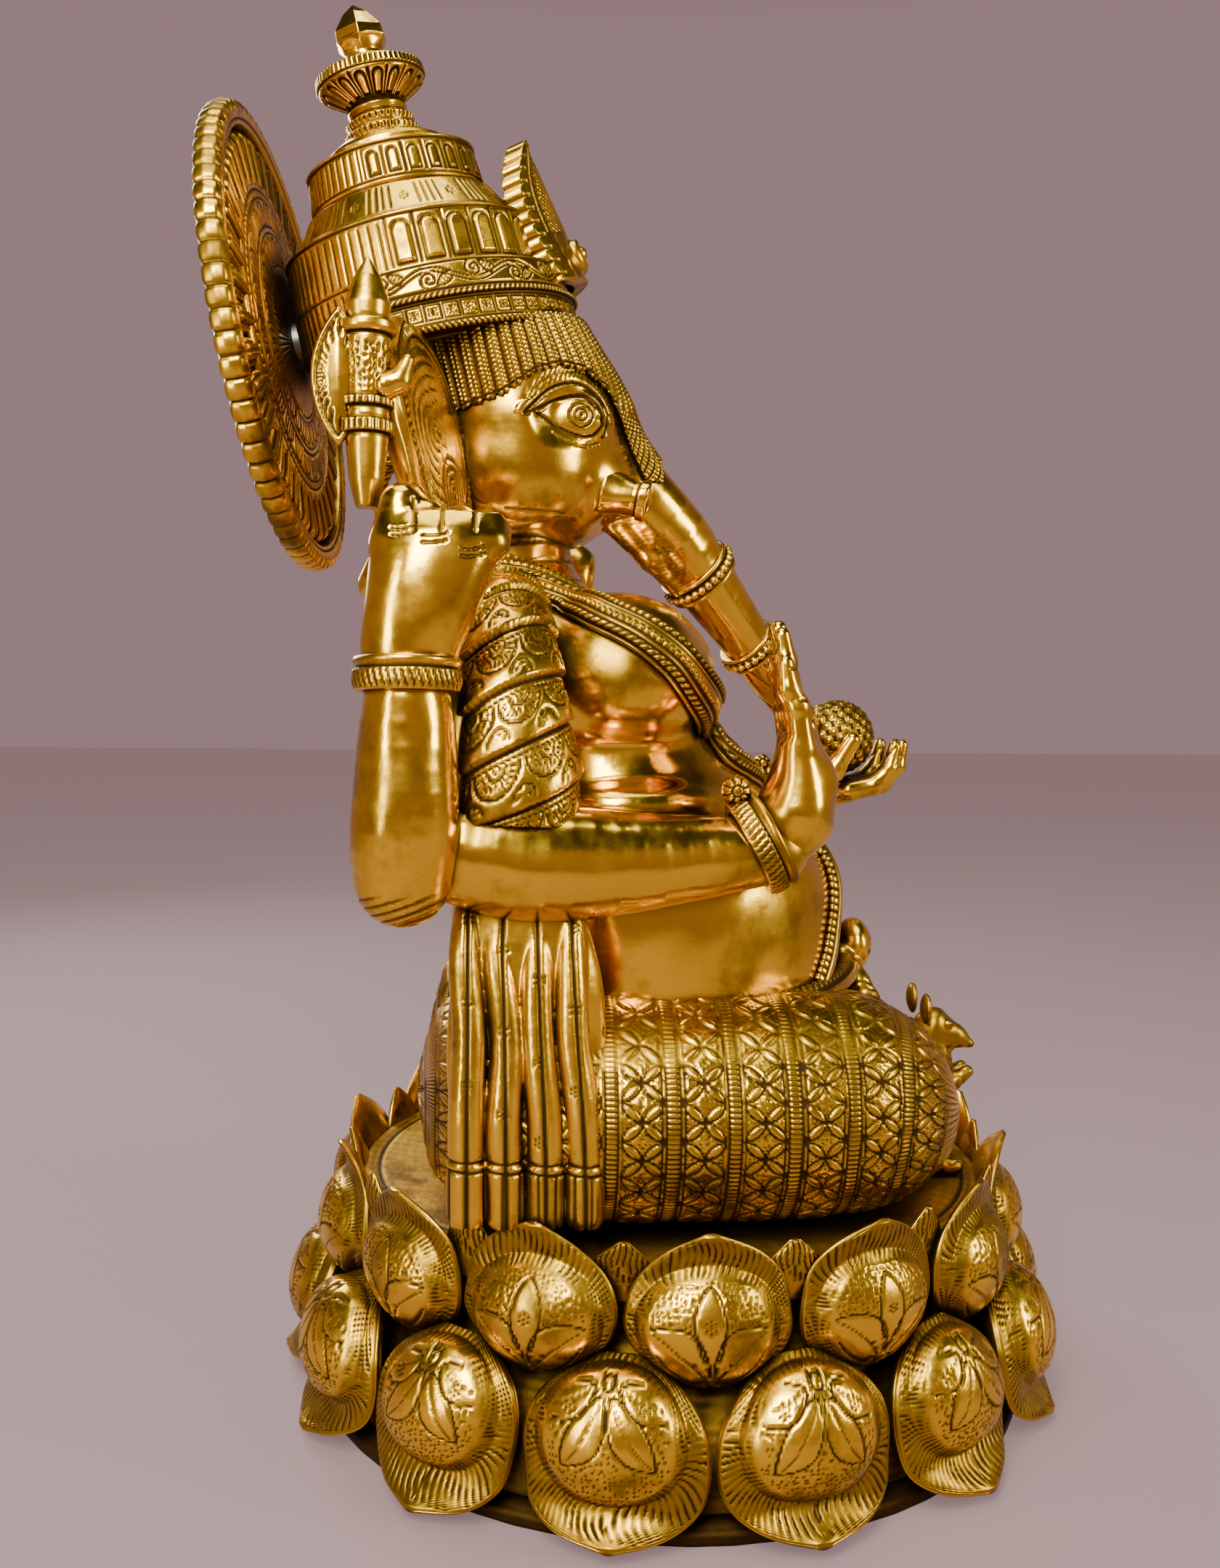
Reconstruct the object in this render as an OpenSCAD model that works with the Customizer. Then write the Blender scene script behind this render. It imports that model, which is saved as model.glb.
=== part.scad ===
// Seated elephant-headed idol in brass on a double-lotus pedestal.
// The figure faces -Y, its right side is at -X and +Z is up. The origin is the
// centre of the pedestal's foot. Castings are separate pieces, brazed, bolted
// or pinned together as a foundry would join them.

/* [Pedestal] */
// Number of petals in each of the two rows
petal_count = 14; // [12:1:16]
// Outer radius of the foot ring
foot_r = 161; // [159:1:164]
// Height of the seat plate's top face
seat_z = 94; // [92:1:96]
// Radius of the seat plate
seat_r = 142; // [138:1:144]
// Radius reached by the tips of the lower petals
lower_tip_r = 180; // [176:1:184]
// Radius reached by the tips of the upper petals
upper_tip_r = 153; // [150:1:156]
// Wall of the hollow castings
wall = 5; // [4:0.5:7]

/* [Head and crown] */
// Backward lean of the crown's axis
crown_lean = 13.5; // [10:0.5:16]
// Radius of the diadem band
diadem_r = 66; // [62:1:68]
// Radius of the halo over its rim
halo_r = 100; // [96:1:103]
// Backward lean of the halo
halo_lean = 9; // [6:0.5:12]
// Turn of the halo towards the figure's right
halo_turn = 4.5; // [0:0.5:6]

/* [Hands and attributes] */
// Radius of the sweetmeat ball
ball_r = 18.5; // [17:0.5:20]
// Radius of the stud that carries the halo
stud_r = 5; // [4:0.5:6]
// Thickness of the bangles
bangle_t = 3.6; // [3:0.1:4.5]

/* [Hidden] */

brass = [0.80, 0.60, 0.22];
bright = [0.92, 0.74, 0.34];
dark = [0.52, 0.36, 0.12];
steel = [0.60, 0.60, 0.62];
round_fn = 96;
small_fn = 10;
pitch = 360 / petal_count;
crown_base = [0, 111, 465];
halo_centre = [0, 179, 463];
ball_centre = [75, -93, 288];
halo_back = 5;

// ---------------------------------------------------------------- curves

function unit(v) = v / norm(v);
function clamp_at(s, i) = s[max(0, min(len(s) - 1, i))];

// Point on the curve through a list of stations, between i and i + 1
function curve_at(s, i, t) =
    let (a = clamp_at(s, i - 1), b = s[i], c = s[i + 1], d = clamp_at(s, i + 2))
    0.5 * (2 * b + (c - a) * t + (2 * a - 5 * b + 4 * c - d) * t * t
        + (3 * b - a - 3 * c + d) * t * t * t);

function smooth(s, steps) = [
    for (i = [0:len(s) - 2], j = [0:steps - 1]) curve_at(s, i, j / steps),
    s[len(s) - 1]
];

function place(s) = [s[0], s[1], s[2]];

function oval(centre, along, side, a, b, n) =
    let (u = unit(side - (side * along) * along), v = cross(along, u))
    [for (j = [0:n - 1]) centre + a * cos(360 * j / n) * u + b * sin(360 * j / n) * v];

function centre_of(ring) = [for (k = [0:2]) [for (p = ring) p[k]] * [for (p = ring) 1 / len(ring)]];

// Closed skin over rings with equal numbers of points
module skin(rings) {
    n = len(rings[0]);
    m = len(rings);
    points = concat([for (r = rings, p = r) p], [centre_of(rings[0]), centre_of(rings[m - 1])]);
    sides = [
        for (i = [0:m - 2], j = [0:n - 1])
            let (k = (j + 1) % n)
            each [[i * n + j, (i + 1) * n + k, i * n + k], [i * n + j, (i + 1) * n + j, (i + 1) * n + k]]
    ];
    caps = [
        for (j = [0:n - 1])
            let (k = (j + 1) % n)
            each [[m * n, j, k], [m * n + 1, (m - 1) * n + k, (m - 1) * n + j]]
    ];
    polyhedron(points, concat(sides, caps), convexity = 6);
}

// Oval tube through stations [x, y, z, half width along side, half width across].
// Its rings lie square to the path, or all square to axis where that is given.
module limb(stations, side = [1, 0, 0], axis = undef, steps = 2, n = 16) {
    s = smooth(stations, steps);
    last = len(s) - 1;
    skin([
        for (i = [0:last])
            let (ahead = place(s[min(i + 1, last)]), behind = place(s[max(i - 1, 0)]))
            let (along = is_undef(axis) ? unit(ahead - behind) : axis)
            oval(place(s[i]), along, side, s[i][3], s[i][4], n)
    ]);
}

// Rounded chain through stations [x, y, z, r]
module chain(stations) {
    for (i = [0:len(stations) - 2])
        hull() {
            translate(place(stations[i])) sphere(stations[i][3], $fn = small_fn);
            translate(place(stations[i + 1])) sphere(stations[i + 1][3], $fn = small_fn);
        }
}

module on_crown() {
    translate(crown_base) rotate([-crown_lean, 0, 0]) children();
}

module on_halo() {
    translate(halo_centre) rotate([90 - halo_lean, 0, -halo_turn]) children();
}

module left_side() {
    mirror([1, 0, 0]) children();
}

// ---------------------------------------------------------------- pedestal

module foot_ring() {
    color(dark) rotate_extrude($fn = round_fn)
        polygon([[foot_r - 22, 0], [foot_r, 0], [foot_r, 5], [foot_r - 5, 8], [foot_r - 22, 8]]);
}

// Waisted hollow drum that the petals are cast onto
module pedestal_wall() {
    waist_r = 127;
    color(dark) rotate_extrude($fn = round_fn)
        polygon([
            [146, 8], [155, 8], [152, 24], [139, 46], [waist_r, 62], [130, 76], [138, seat_z - 6],
            [138 - wall, seat_z - 6], [130 - wall, 77], [waist_r - wall, 62], [133, 43], [146, 22]
        ]);
}

module seat_plate() {
    color(brass) difference() {
        translate([0, 0, seat_z - 6]) cylinder(r = seat_r, h = 6, $fn = round_fn);
        for (a = [90, 210, 330])
            rotate([0, 0, a]) translate([62, 0, seat_z - 7]) cylinder(r = 5.5, h = 8, $fn = 32);
    }
}

// One domed petal: stations run outwards from its root to its tip
module petal(stations, sides = 12) {
    limb(stations, side = [0, 1, 0], steps = 1, n = sides);
}

module lower_petals() {
    color(brass) for (i = [0:petal_count - 1])
        rotate([0, 0, 180 + (i + 0.5) * pitch])
            petal([
                [146, 0, 64, 10, 4], [153, 0, 54, 27, 9], [157, 0, 42, 34, 12],
                [159, 0, 28, 34.8, 13], [163, 0, 16, 31, 9], [170, 0, 9, 20, 5],
                [lower_tip_r - 1, 0, 6, 3, 2]
            ]);
}

module upper_petals() {
    color(brass) for (i = [0:petal_count - 1])
        rotate([0, 0, 180 + i * pitch])
            petal([
                [136, 0, 56, 10, 4], [144, 0, 63, 24, 8], [147, 0, 74, 31, 11],
                [147, 0, 86, 31.5, 10], [147, 0, 97, 27, 6], [149, 0, 106, 17, 4],
                [upper_tip_r - 1, 0, 113, 3, 2]
            ]);
}

// Small tips that stand behind the gaps of the upper row
module between_petals() {
    color(brass) for (i = [0:petal_count - 1])
        rotate([0, 0, 180 + (i + 0.5) * pitch])
            petal([
                [141, 0, 84, 13, 3], [143, 0, 92, 15, 3.5], [145, 0, 101, 10, 3],
                [147, 0, 109, 2, 1.5]
            ], sides = 8);
}

// Three hexagon bolts with washers, up through the seat plate
module seat_bolts() {
    color(steel) for (a = [90, 210, 330])
        rotate([0, 0, a]) translate([62, 0, 0]) {
            translate([0, 0, seat_z - 14.5]) cylinder(r = 9.2, h = 6.5, $fn = 6);
            translate([0, 0, seat_z - 8]) cylinder(r = 11, h = 2, $fn = 48);
            translate([0, 0, seat_z - 8]) cylinder(r = 5, h = 26, $fn = 48);
        }
}

// ---------------------------------------------------------------- body

module torso() {
    color(brass) limb([
        [0, 13, 96, 64, 60], [0, 13, 130, 82, 80], [0, 12, 170, 90, 88],
        [0, 13, 205, 93, 89], [0, 15, 235, 91, 86], [0, 25, 262, 85, 71],
        [0, 35, 290, 84, 62], [0, 44, 315, 86, 58], [0, 57, 337, 78, 47],
        [0, 68, 354, 60, 34], [0, 73, 366, 36, 26], [0, 74, 384, 29, 24]
    ], axis = [0, 0, 1], n = 24);
}

// Folded leg under the dhoti: hip at the back, knee at the front
module folded_leg() {
    limb([
        [-50, 113, 140, 8, 8], [-56, 106, 141, 36, 34], [-64, 86, 142, 57, 45],
        [-72, 50, 142.5, 60, 48], [-76, 5, 142, 57, 47.5], [-76, -45, 141, 54, 46],
        [-72, -84, 140, 47, 42], [-68, -106, 138, 33, 31], [-66, -116, 137, 8, 8]
    ], axis = [0, -1, 0], n = 24);
}

module right_leg() {
    color(brass) folded_leg();
}

module left_leg() {
    color(brass) left_side() folded_leg();
}

// Shin and bare foot crossing the lap's front, sole turned up
module right_foot() {
    color(bright) limb([
        [-66, -82, 116, 10, 10], [-52, -92, 113, 17, 15], [-22, -98, 110, 14, 13],
        [4, -97, 108, 13, 11], [26, -93, 106, 15, 8], [44, -90, 105, 9, 5]
    ], side = [0, 0, 1]);
}

module left_foot() {
    color(bright) limb([
        [66, -84, 126, 10, 10], [50, -94, 128, 15, 14], [20, -97, 132, 13, 12],
        [-8, -96, 134, 12, 11], [-32, -93, 135, 15, 8], [-50, -90, 135, 9, 5]
    ], side = [0, 0, 1]);
}

module anklet(centre, turn) {
    translate(centre) rotate([0, 90, turn])
        rotate_extrude($fn = 64) translate([15.5, 0]) circle(bangle_t - 0.6, $fn = 24);
}

module right_anklet() {
    color(bright) anklet([-14, -98, 109], 0);
}

module left_anklet() {
    color(bright) anklet([14, -97, 132], 0);
}

// Fan of folds hanging from the belt over the crossed shins
module dhoti_pleats() {
    color(brass) for (i = [-2:2])
        chain([
            [i * 5, -76, 186, 6], [i * 8, -86, 170, 7], [i * 10, -96, 152, 6.5]
        ]);
}

module waist_belt() {
    color(bright) limb([
        [-86, -10, 188, 4, 6], [-72, -46, 187, 4, 6], [-42, -70, 186, 4, 6],
        [0, -80, 185, 4.5, 7], [42, -70, 186, 4, 6], [72, -46, 187, 4, 6],
        [86, -10, 188, 4, 6]
    ], side = [0, 0.02, 1], n = 12);
}

// Four rounded folds that fall from the elbow to the seat plate
module sash() {
    for (i = [0:3])
        chain([
            [-112, 90 - i * 13, 229, 6], [-121, 91 - i * 13.5, 190, 8],
            [-129, 91 - i * 15, 152, 8.5], [-127, 91 - i * 16, 122, 8.5]
        ]);
}

module right_sash() {
    color(bright) sash();
}

module left_sash() {
    color(bright) left_side() sash();
}

// Shawl wrapped round the shoulder and the upper arm
module sleeve() {
    limb([
        [-50, 72, 350, 12, 11], [-72, 79, 343, 20, 19], [-94, 78, 325, 22, 24],
        [-107, 77, 301, 25, 26], [-113, 75, 278, 27, 25], [-115, 75, 261, 25, 22]
    ], side = [0, 1, 0], n = 20);
}

module right_sleeve() {
    color(brass) sleeve();
}

module left_sleeve() {
    color(brass) left_side() sleeve();
}

// Short collar of beads round the neck's root
module necklace() {
    color(bright) limb([
        [-36, 92, 366, 3, 5], [-42, 68, 362, 3, 6], [-36, 44, 352, 3, 7], [0, 24, 344, 3, 8],
        [36, 44, 352, 3, 7], [42, 68, 362, 3, 6], [36, 92, 366, 3, 5]
    ], side = [0, -0.6, 0.8], n = 10);
}

// Long garland down to the belly
module garland() {
    color(bright) limb([
        [-46, 62, 358, 4, 8], [-62, 24, 337, 4, 10], [-56, 4, 322, 4, 10], [-46, -8, 308, 4, 10],
        [-36, -17, 294, 4, 10], [-18, -32, 280, 5, 10], [0, -39, 275, 5, 10], [18, -32, 280, 5, 10],
        [36, -17, 294, 4, 10], [46, -8, 308, 4, 10], [56, 4, 322, 4, 10], [62, 24, 337, 4, 10],
        [46, 62, 358, 4, 8]
    ], side = [0, -0.8, 0.6], n = 10);
}

module sacred_thread() {
    color(bright) limb([
        [4, -38, 282, 4, 4], [-16, -55, 255, 4, 4], [-34, -69, 225, 4, 4],
        [-48, -69, 200, 4, 4], [-60, -58, 184, 4, 4]
    ], side = [0, -1, 0], n = 10);
}

// ---------------------------------------------------------------- arms

module right_front_forearm() {
    color(brass) limb([
        [-117, 103, 256, 9, 10], [-116, 92, 252, 20, 21], [-114, 64, 246, 21, 22],
        [-109, 30, 245, 19, 19], [-102, -4, 247, 16, 16], [-97, -28, 249, 14, 14],
        [-95, -38, 250, 12, 12]
    ]);
}

module left_front_forearm() {
    color(brass) limb([
        [117, 103, 256, 9, 10], [116, 92, 252, 20, 21], [112, 60, 247, 21, 22],
        [104, 20, 249, 19, 19], [94, -20, 253, 16, 16], [85, -52, 257, 13, 13],
        [82, -64, 258, 12, 11]
    ]);
}

// Raised open hand, palm to the front
module right_front_hand() {
    color(bright) translate([0, 6, 0]) {
        chain([[-95, -39, 249, 12], [-92, -46, 260, 11], [-91, -45, 280, 10]]);
        chain([[-84, -46, 262, 10], [-83, -44, 284, 9]]);
        chain([[-100, -44, 264, 9], [-100, -42, 284, 8.5]]);
        for (i = [0:3])
            chain([
                [-79 - i * 8.2, -43, 286, 6], [-79 - i * 8.4, -39, 306 + 2 * sin(45 * i), 5.2],
                [-80 - i * 8, -32, 324 + 6 * sin(55 * i), 4.3]
            ]);
        chain([[-80, -50, 262, 7.5], [-70, -52, 280, 5.6], [-69, -50, 296, 4.6]]);
    }
}

// Cupped hand, palm up, under the ball
module left_front_hand() {
    color(bright) {
        chain([[82, -62, 258, 11], [80, -76, 259, 11], [78, -92, 261, 9]]);
        chain([[70, -80, 261, 9], [68, -94, 262, 8]]);
        chain([[88, -80, 261, 8], [88, -92, 262, 7]]);
        for (i = [0:3])
            chain([
                [64 + i * 8, -96, 262, 5.8], [63 + i * 8.4, -110, 266, 5], [63 + i * 8.4, -121, 279, 4.2]
            ]);
        chain([[66, -74, 264, 7], [54, -86, 272, 5.4], [52, -94, 286, 4.4]]);
    }
}

module rear_upper_arm() {
    limb([
        [-66, 90, 340, 12, 12], [-86, 94, 326, 23, 22], [-106, 102, 300, 22, 21],
        [-120, 109, 272, 21, 19], [-130, 114, 247, 18, 16], [-134, 115, 234, 9, 8]
    ], side = [0, 1, 0]);
}

module rear_forearm() {
    limb([
        [-137, 113, 226, 8, 8], [-138, 113, 236, 19, 17], [-140, 113, 262, 21, 19],
        [-141, 112, 290, 19, 17], [-141, 112, 312, 16.5, 15], [-141, 112, 324, 14, 13]
    ], side = [0, 1, 0]);
}

// Closed hand, its back turned outwards, fingers bent in over what it holds
module rear_hand() {
    chain([[-141, 112, 322, 14], [-141, 110, 338, 14], [-141, 106, 354, 14], [-138, 98, 366, 11]]);
    chain([[-141, 118, 338, 12], [-140, 122, 358, 11], [-137, 122, 370, 9]]);
    for (i = [0:3])
        chain([
            [-138, 92 + i * 9, 366 + i, 7], [-130, 90 + i * 9, 378, 6],
            [-121, 92 + i * 9, 372, 5.4], [-120, 94 + i * 9, 362, 4.8]
        ]);
    chain([[-138, 124, 356, 8], [-132, 126, 374, 6.5], [-124, 118, 384, 5.6]]);
}

module right_rear_upper_arm() {
    color(brass) rear_upper_arm();
}

module left_rear_upper_arm() {
    color(brass) left_side() rear_upper_arm();
}

module right_rear_forearm() {
    color(brass) rear_forearm();
}

module left_rear_forearm() {
    color(brass) left_side() rear_forearm();
}

module right_rear_hand() {
    color(bright) rear_hand();
}

module left_rear_hand() {
    color(bright) left_side() rear_hand();
}

module bangle(centre, tilt, r) {
    translate(centre) rotate(tilt)
        rotate_extrude($fn = 64) translate([r, 0]) circle(bangle_t, $fn = 24);
}

module bangles() {
    color(bright) {
        bangle([-96, -25, 252], [62, 0, 0], 18.5);
        bangle([83, -56, 257], [90, 0, 0], 15.5);
        bangle([-141, 112, 317], [0, 4, 0], 19.5);
        bangle([141, 112, 317], [0, -4, 0], 19.5);
    }
}

// ---------------------------------------------------------------- attributes

module sweetmeat_ball() {
    color(dark) translate(ball_centre) sphere(ball_r, $fn = 64);
}

// Turned shaft with rings, collar and bud
module axe_shaft() {
    color(brass) translate([-123, 128, 378]) rotate([0, 3, 0])
        rotate_extrude($fn = 48)
            polygon([
                [0, 0], [4, 0], [6.5, 10], [8, 26], [10, 27], [10, 31], [8, 32], [8, 35],
                [10, 36], [10, 39], [8, 40], [9, 62], [11, 64], [11, 67], [8, 68], [8.5, 74],
                [5, 84], [0, 92]
            ]);
}

// Pointed oval blade behind the shaft, with its short spike in front
module axe_blade() {
    color(bright) {
        intersection_for (side = [-1, 1])
            translate([-124, 138 + side * 29, 425]) rotate([0, 90, 0])
                cylinder(r = 38, h = 9, center = true, $fn = 64);
        translate([-124, 118, 426]) rotate([90, 0, 0]) cylinder(r1 = 6, r2 = 3, h = 8, $fn = 32);
    }
}

// Looped cord cast in one piece, for the other rear hand
module noose() {
    color(bright) translate([124, 122, 414]) rotate([0, 90, 0]) {
        rotate_extrude($fn = 64) translate([24, 0]) circle(4.5, $fn = 24);
        translate([40, 0, 0]) rotate([0, 90, 0]) cylinder(r = 4.5, h = 30, center = true, $fn = 32);
    }
}

// ---------------------------------------------------------------- head

module head() {
    color(brass) limb([
        [0, 66, 374, 12, 12], [0, 68, 380, 34, 30], [0, 70, 398, 51, 43],
        [0, 72, 420, 56, 48], [0, 75, 442, 55, 50], [0, 83, 462, 54, 50],
        [0, 93, 478, 53, 48], [0, 100, 488, 40, 38]
    ], axis = [0, 0, 1], n = 24);
}

// Broad ear, swept outwards and back, hanging beside the cheek
module ear() {
    limb([
        [-46, 101, 420, 3.5, 26], [-57, 103, 417, 4, 38], [-75, 108, 412, 4, 46],
        [-93, 114, 408, 4, 44], [-104, 117, 403, 3.5, 32], [-110, 118, 401, 2, 12]
    ], side = [0, 0.97, -0.25], n = 16);
}

module right_ear() {
    color(dark) ear();
}

module left_ear() {
    color(dark) left_side() ear();
}

module trunk() {
    color(brass) limb([
        [0, 51, 446, 20, 18], [0, 38, 430, 21, 20], [0, 21, 403, 20, 19], [5, 2, 382, 18, 17.5],
        [14, -14, 364, 15.5, 15], [30, -37, 337, 12.5, 12], [44, -52, 318, 10.5, 10],
        [58, -70, 299, 8.5, 8], [62, -76, 293, 5, 5]
    ], n = 18);
}

// Two beaded rings round the trunk
module trunk_rings() {
    color(bright) {
        translate([13, -12, 366]) rotate([-40, -30, 0])
            rotate_extrude($fn = 64) translate([15.5, 0]) square([4.5, 9], center = true);
        translate([33, -40, 333]) rotate([-40, -33, 0])
            rotate_extrude($fn = 64) translate([12, 0]) square([4, 8], center = true);
    }
}

// Broken tusk: a short stub with a rim
module right_tusk() {
    color(bright) translate([-27, 38, 399]) rotate([104, 0, -10]) {
        cylinder(r1 = 11, r2 = 7.5, h = 18, $fn = 48);
        translate([0, 0, 18]) cylinder(r = 8.5, h = 5, $fn = 48);
    }
}

module left_tusk() {
    color(bright) translate([27, 38, 399]) rotate([100, 0, 10]) cylinder(r1 = 9, r2 = 2, h = 48, $fn = 48);
}

// Beaded net over the brow, hanging from the diadem
module forehead_net() {
    color(bright) limb([
        [0, 78, 446, 50, 46], [0, 79, 448, 56.5, 51], [0, 84, 458, 56.5, 51],
        [0, 91, 470, 56, 51], [0, 98, 480, 54, 50], [0, 101, 484, 48, 46]
    ], axis = [0, 0, 1], steps = 1, n = 28);
}

// Open band across the brow, from temple to temple
module diadem() {
    color(bright) on_crown() rotate([0, 0, 165])
        rotate_extrude(angle = 210, $fn = round_fn)
            polygon([
                [diadem_r - 17, -11], [diadem_r, -11], [diadem_r + 1.5, -9],
                [diadem_r, -7], [diadem_r - 1, 1], [diadem_r + 0.5, 3],
                [diadem_r - 2.5, 16], [diadem_r - 17, 16]
            ]);
}

module crown_lower_tier() {
    color(brass) difference() {
        on_crown() rotate_extrude($fn = round_fn)
            polygon([
                [0, -8], [51, -8], [57, 0], [57, 17], [55, 40], [56, 42], [50, 45],
                [45, 53], [42, 58], [38, 60], [0, 60]
            ]);
        on_halo() cylinder(r = stud_r, h = 38, $fn = 48);
    }
}

module crown_upper_tier() {
    color(brass) on_crown() rotate_extrude($fn = round_fn)
        polygon([
            [0, 60], [38, 60], [39, 62], [37, 76], [38, 78], [28, 79], [28, 84], [22, 88],
            [16, 90], [0, 90]
        ]);
}

module crown_finial() {
    color(bright) on_crown() rotate_extrude($fn = round_fn)
        polygon([
            [0, 90], [16, 90], [17, 93], [14, 95], [15, 98], [12, 100], [13, 103], [11, 105],
            [23, 113], [24.5, 115], [24, 119], [12, 124], [8, 126], [8, 128], [11.5, 133],
            [11, 137], [5, 145], [0, 149]
        ]);
}

// Pointed leaf that stands on the diadem, over the brow
module crown_plaque() {
    half_w = 27;
    leaf_h = 64;
    function leaf_x(t) = half_w * sin(180 * pow(t, 0.72)) * (1 - 0.25 * t) + 9 * (1 - t) * (1 - t);
    edge = [for (i = [0:16]) [leaf_x(i / 16), leaf_h * i / 16]];
    other = [for (i = [15:-1:0]) [-edge[i][0], edge[i][1]]];
    color(bright) on_crown() translate([0, -68, 12]) rotate([102, 0, 0])
        linear_extrude(height = 9, center = true) polygon(concat(edge, other));
}

// ---------------------------------------------------------------- halo

module halo_plate() {
    color(brass) on_halo() difference() {
        translate([0, 0, -halo_back]) cylinder(r = halo_r - 5, h = 5, $fn = round_fn);
        translate([0, 0, -10]) cylinder(r = stud_r + 0.3, h = 20, $fn = 48);
    }
}

module halo_rim() {
    color(bright) on_halo() rotate_extrude($fn = round_fn)
        polygon([
            [halo_r - 10, 0], [halo_r - 5, 0], [halo_r - 5, -halo_back], [halo_r, -3],
            [halo_r, 3], [halo_r - 3, 5], [halo_r - 10, 5]
        ]);
}

module halo_boss() {
    color(bright) on_halo() rotate_extrude($fn = round_fn)
        polygon([[stud_r + 0.3, 0], [70, 0], [70, 4], [66, 6.5], [stud_r + 0.3, 8]]);
}

// Stud screwed into the back of the crown, with the collar that spaces the halo off
module halo_stud() {
    color(steel) on_halo() {
        translate([0, 0, -18]) cylinder(r = stud_r, h = 56, $fn = 48);
        translate([0, 0, 8.2]) cylinder(r = 8, h = 3, $fn = 48);
    }
}

module halo_nut() {
    color(steel) on_halo() difference() {
        union() {
            translate([0, 0, -7]) cylinder(r = 11.5, h = 1.8, $fn = 48);
            translate([0, 0, -14]) cylinder(r = 9.6, h = 7, $fn = 6);
        }
        translate([0, 0, -15]) cylinder(r = stud_r + 0.05, h = 12, $fn = 48);
    }
}

// ---------------------------------------------------------------- mouse

module mouse() {
    color(dark) {
        chain([[-24, -113, 108, 13], [-24, -115, 126, 12], [-23, -117, 142, 10], [-22, -117, 156, 9]]);
        chain([[-22, -119, 160, 9], [-24, -129, 155, 5.5], [-25, -135, 152, 2.5]]);
        chain([[-30, -124, 132, 4.5], [-29, -133, 140, 3.5]]);
        chain([[-18, -124, 132, 4.5], [-20, -133, 140, 3.5]]);
        chain([[-31, -114, 166, 4], [-36, -112, 173, 5]]);
        chain([[-14, -114, 166, 4], [-9, -112, 173, 5]]);
        chain([[-34, -116, 100, 5.5], [-34, -127, 98, 4]]);
        chain([[-14, -116, 100, 5.5], [-14, -127, 98, 4]]);
    }
}

// ---------------------------------------------------------------- output

foot_ring();
pedestal_wall();
seat_plate();
lower_petals();
upper_petals();
between_petals();
seat_bolts();
torso();
right_leg();
left_leg();
right_foot();
left_foot();
right_anklet();
left_anklet();
dhoti_pleats();
waist_belt();
right_sash();
left_sash();
right_sleeve();
left_sleeve();
necklace();
garland();
sacred_thread();
right_front_forearm();
left_front_forearm();
right_front_hand();
left_front_hand();
right_rear_upper_arm();
left_rear_upper_arm();
right_rear_forearm();
left_rear_forearm();
right_rear_hand();
left_rear_hand();
bangles();
sweetmeat_ball();
axe_shaft();
axe_blade();
noose();
head();
right_ear();
left_ear();
trunk();
trunk_rings();
right_tusk();
left_tusk();
forehead_net();
diadem();
crown_lower_tier();
crown_upper_tier();
crown_finial();
crown_plaque();
halo_plate();
halo_rim();
halo_boss();
halo_stud();
halo_nut();
mouse();
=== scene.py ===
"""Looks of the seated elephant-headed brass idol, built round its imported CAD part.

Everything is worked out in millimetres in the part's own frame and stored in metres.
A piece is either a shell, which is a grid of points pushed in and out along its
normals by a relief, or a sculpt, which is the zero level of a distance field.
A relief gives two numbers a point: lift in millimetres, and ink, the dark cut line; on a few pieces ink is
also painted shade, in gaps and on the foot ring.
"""

import math
from concurrent.futures import ThreadPoolExecutor

import bpy
import numpy as np
import openvdb
from mathutils import Matrix, Vector


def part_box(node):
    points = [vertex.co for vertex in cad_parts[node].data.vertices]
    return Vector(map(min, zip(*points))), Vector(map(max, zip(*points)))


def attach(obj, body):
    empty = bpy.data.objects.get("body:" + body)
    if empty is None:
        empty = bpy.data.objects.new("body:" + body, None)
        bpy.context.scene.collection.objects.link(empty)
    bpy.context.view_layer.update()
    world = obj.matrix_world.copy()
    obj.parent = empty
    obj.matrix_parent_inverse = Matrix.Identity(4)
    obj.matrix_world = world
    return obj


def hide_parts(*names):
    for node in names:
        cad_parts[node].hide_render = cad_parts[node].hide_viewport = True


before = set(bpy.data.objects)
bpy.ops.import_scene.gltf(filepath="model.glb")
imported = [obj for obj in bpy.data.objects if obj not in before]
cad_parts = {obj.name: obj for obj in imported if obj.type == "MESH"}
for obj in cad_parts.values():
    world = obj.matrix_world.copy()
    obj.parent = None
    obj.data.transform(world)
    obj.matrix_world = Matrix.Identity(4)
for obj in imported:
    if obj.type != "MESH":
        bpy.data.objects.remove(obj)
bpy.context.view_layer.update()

MM = 0.001
COARSE = 1.0
CUT = 0.85
TAU = 2 * math.pi


def node_box(name):
    """Low and high corners of a CAD node, in millimetres."""
    low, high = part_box(name)
    return np.array(low) / MM, np.array(high) / MM


# ------------------------------------------------------------ numbers and patterns

def ramp(a, b, x):
    """Smooth step from 0 at a to 1 at b."""
    t = np.clip((x - a) / (b - a), 0, 1)
    return t * t * (3 - 2 * t)


def line(d, half):
    """1 on a cut line, 0 outside its half width."""
    return 1 - ramp(0.35 * half, half, np.abs(d))


def cell(x, pitch):
    """Distance from the middle of the repeat that x falls in."""
    return (x / pitch - np.floor(x / pitch) - 0.5) * pitch


def most(parts):
    """Largest of several arrays that may differ in shape."""
    top = parts[0]
    for part in parts[1:]:
        top = np.maximum(top, part)
    return top


def cuts(x, pitch, half):
    """Evenly spaced cut lines."""
    return line(cell(x, pitch), half)


def rings_at(x, places, half):
    """A cut line at each place."""
    return most([line(x - place, half) for place in places])


def within(x, low, high, soft=0.4):
    """1 between low and high, with soft ends."""
    return ramp(low - soft, low + soft, x) * (1 - ramp(high - soft, high + soft, x))


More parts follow.
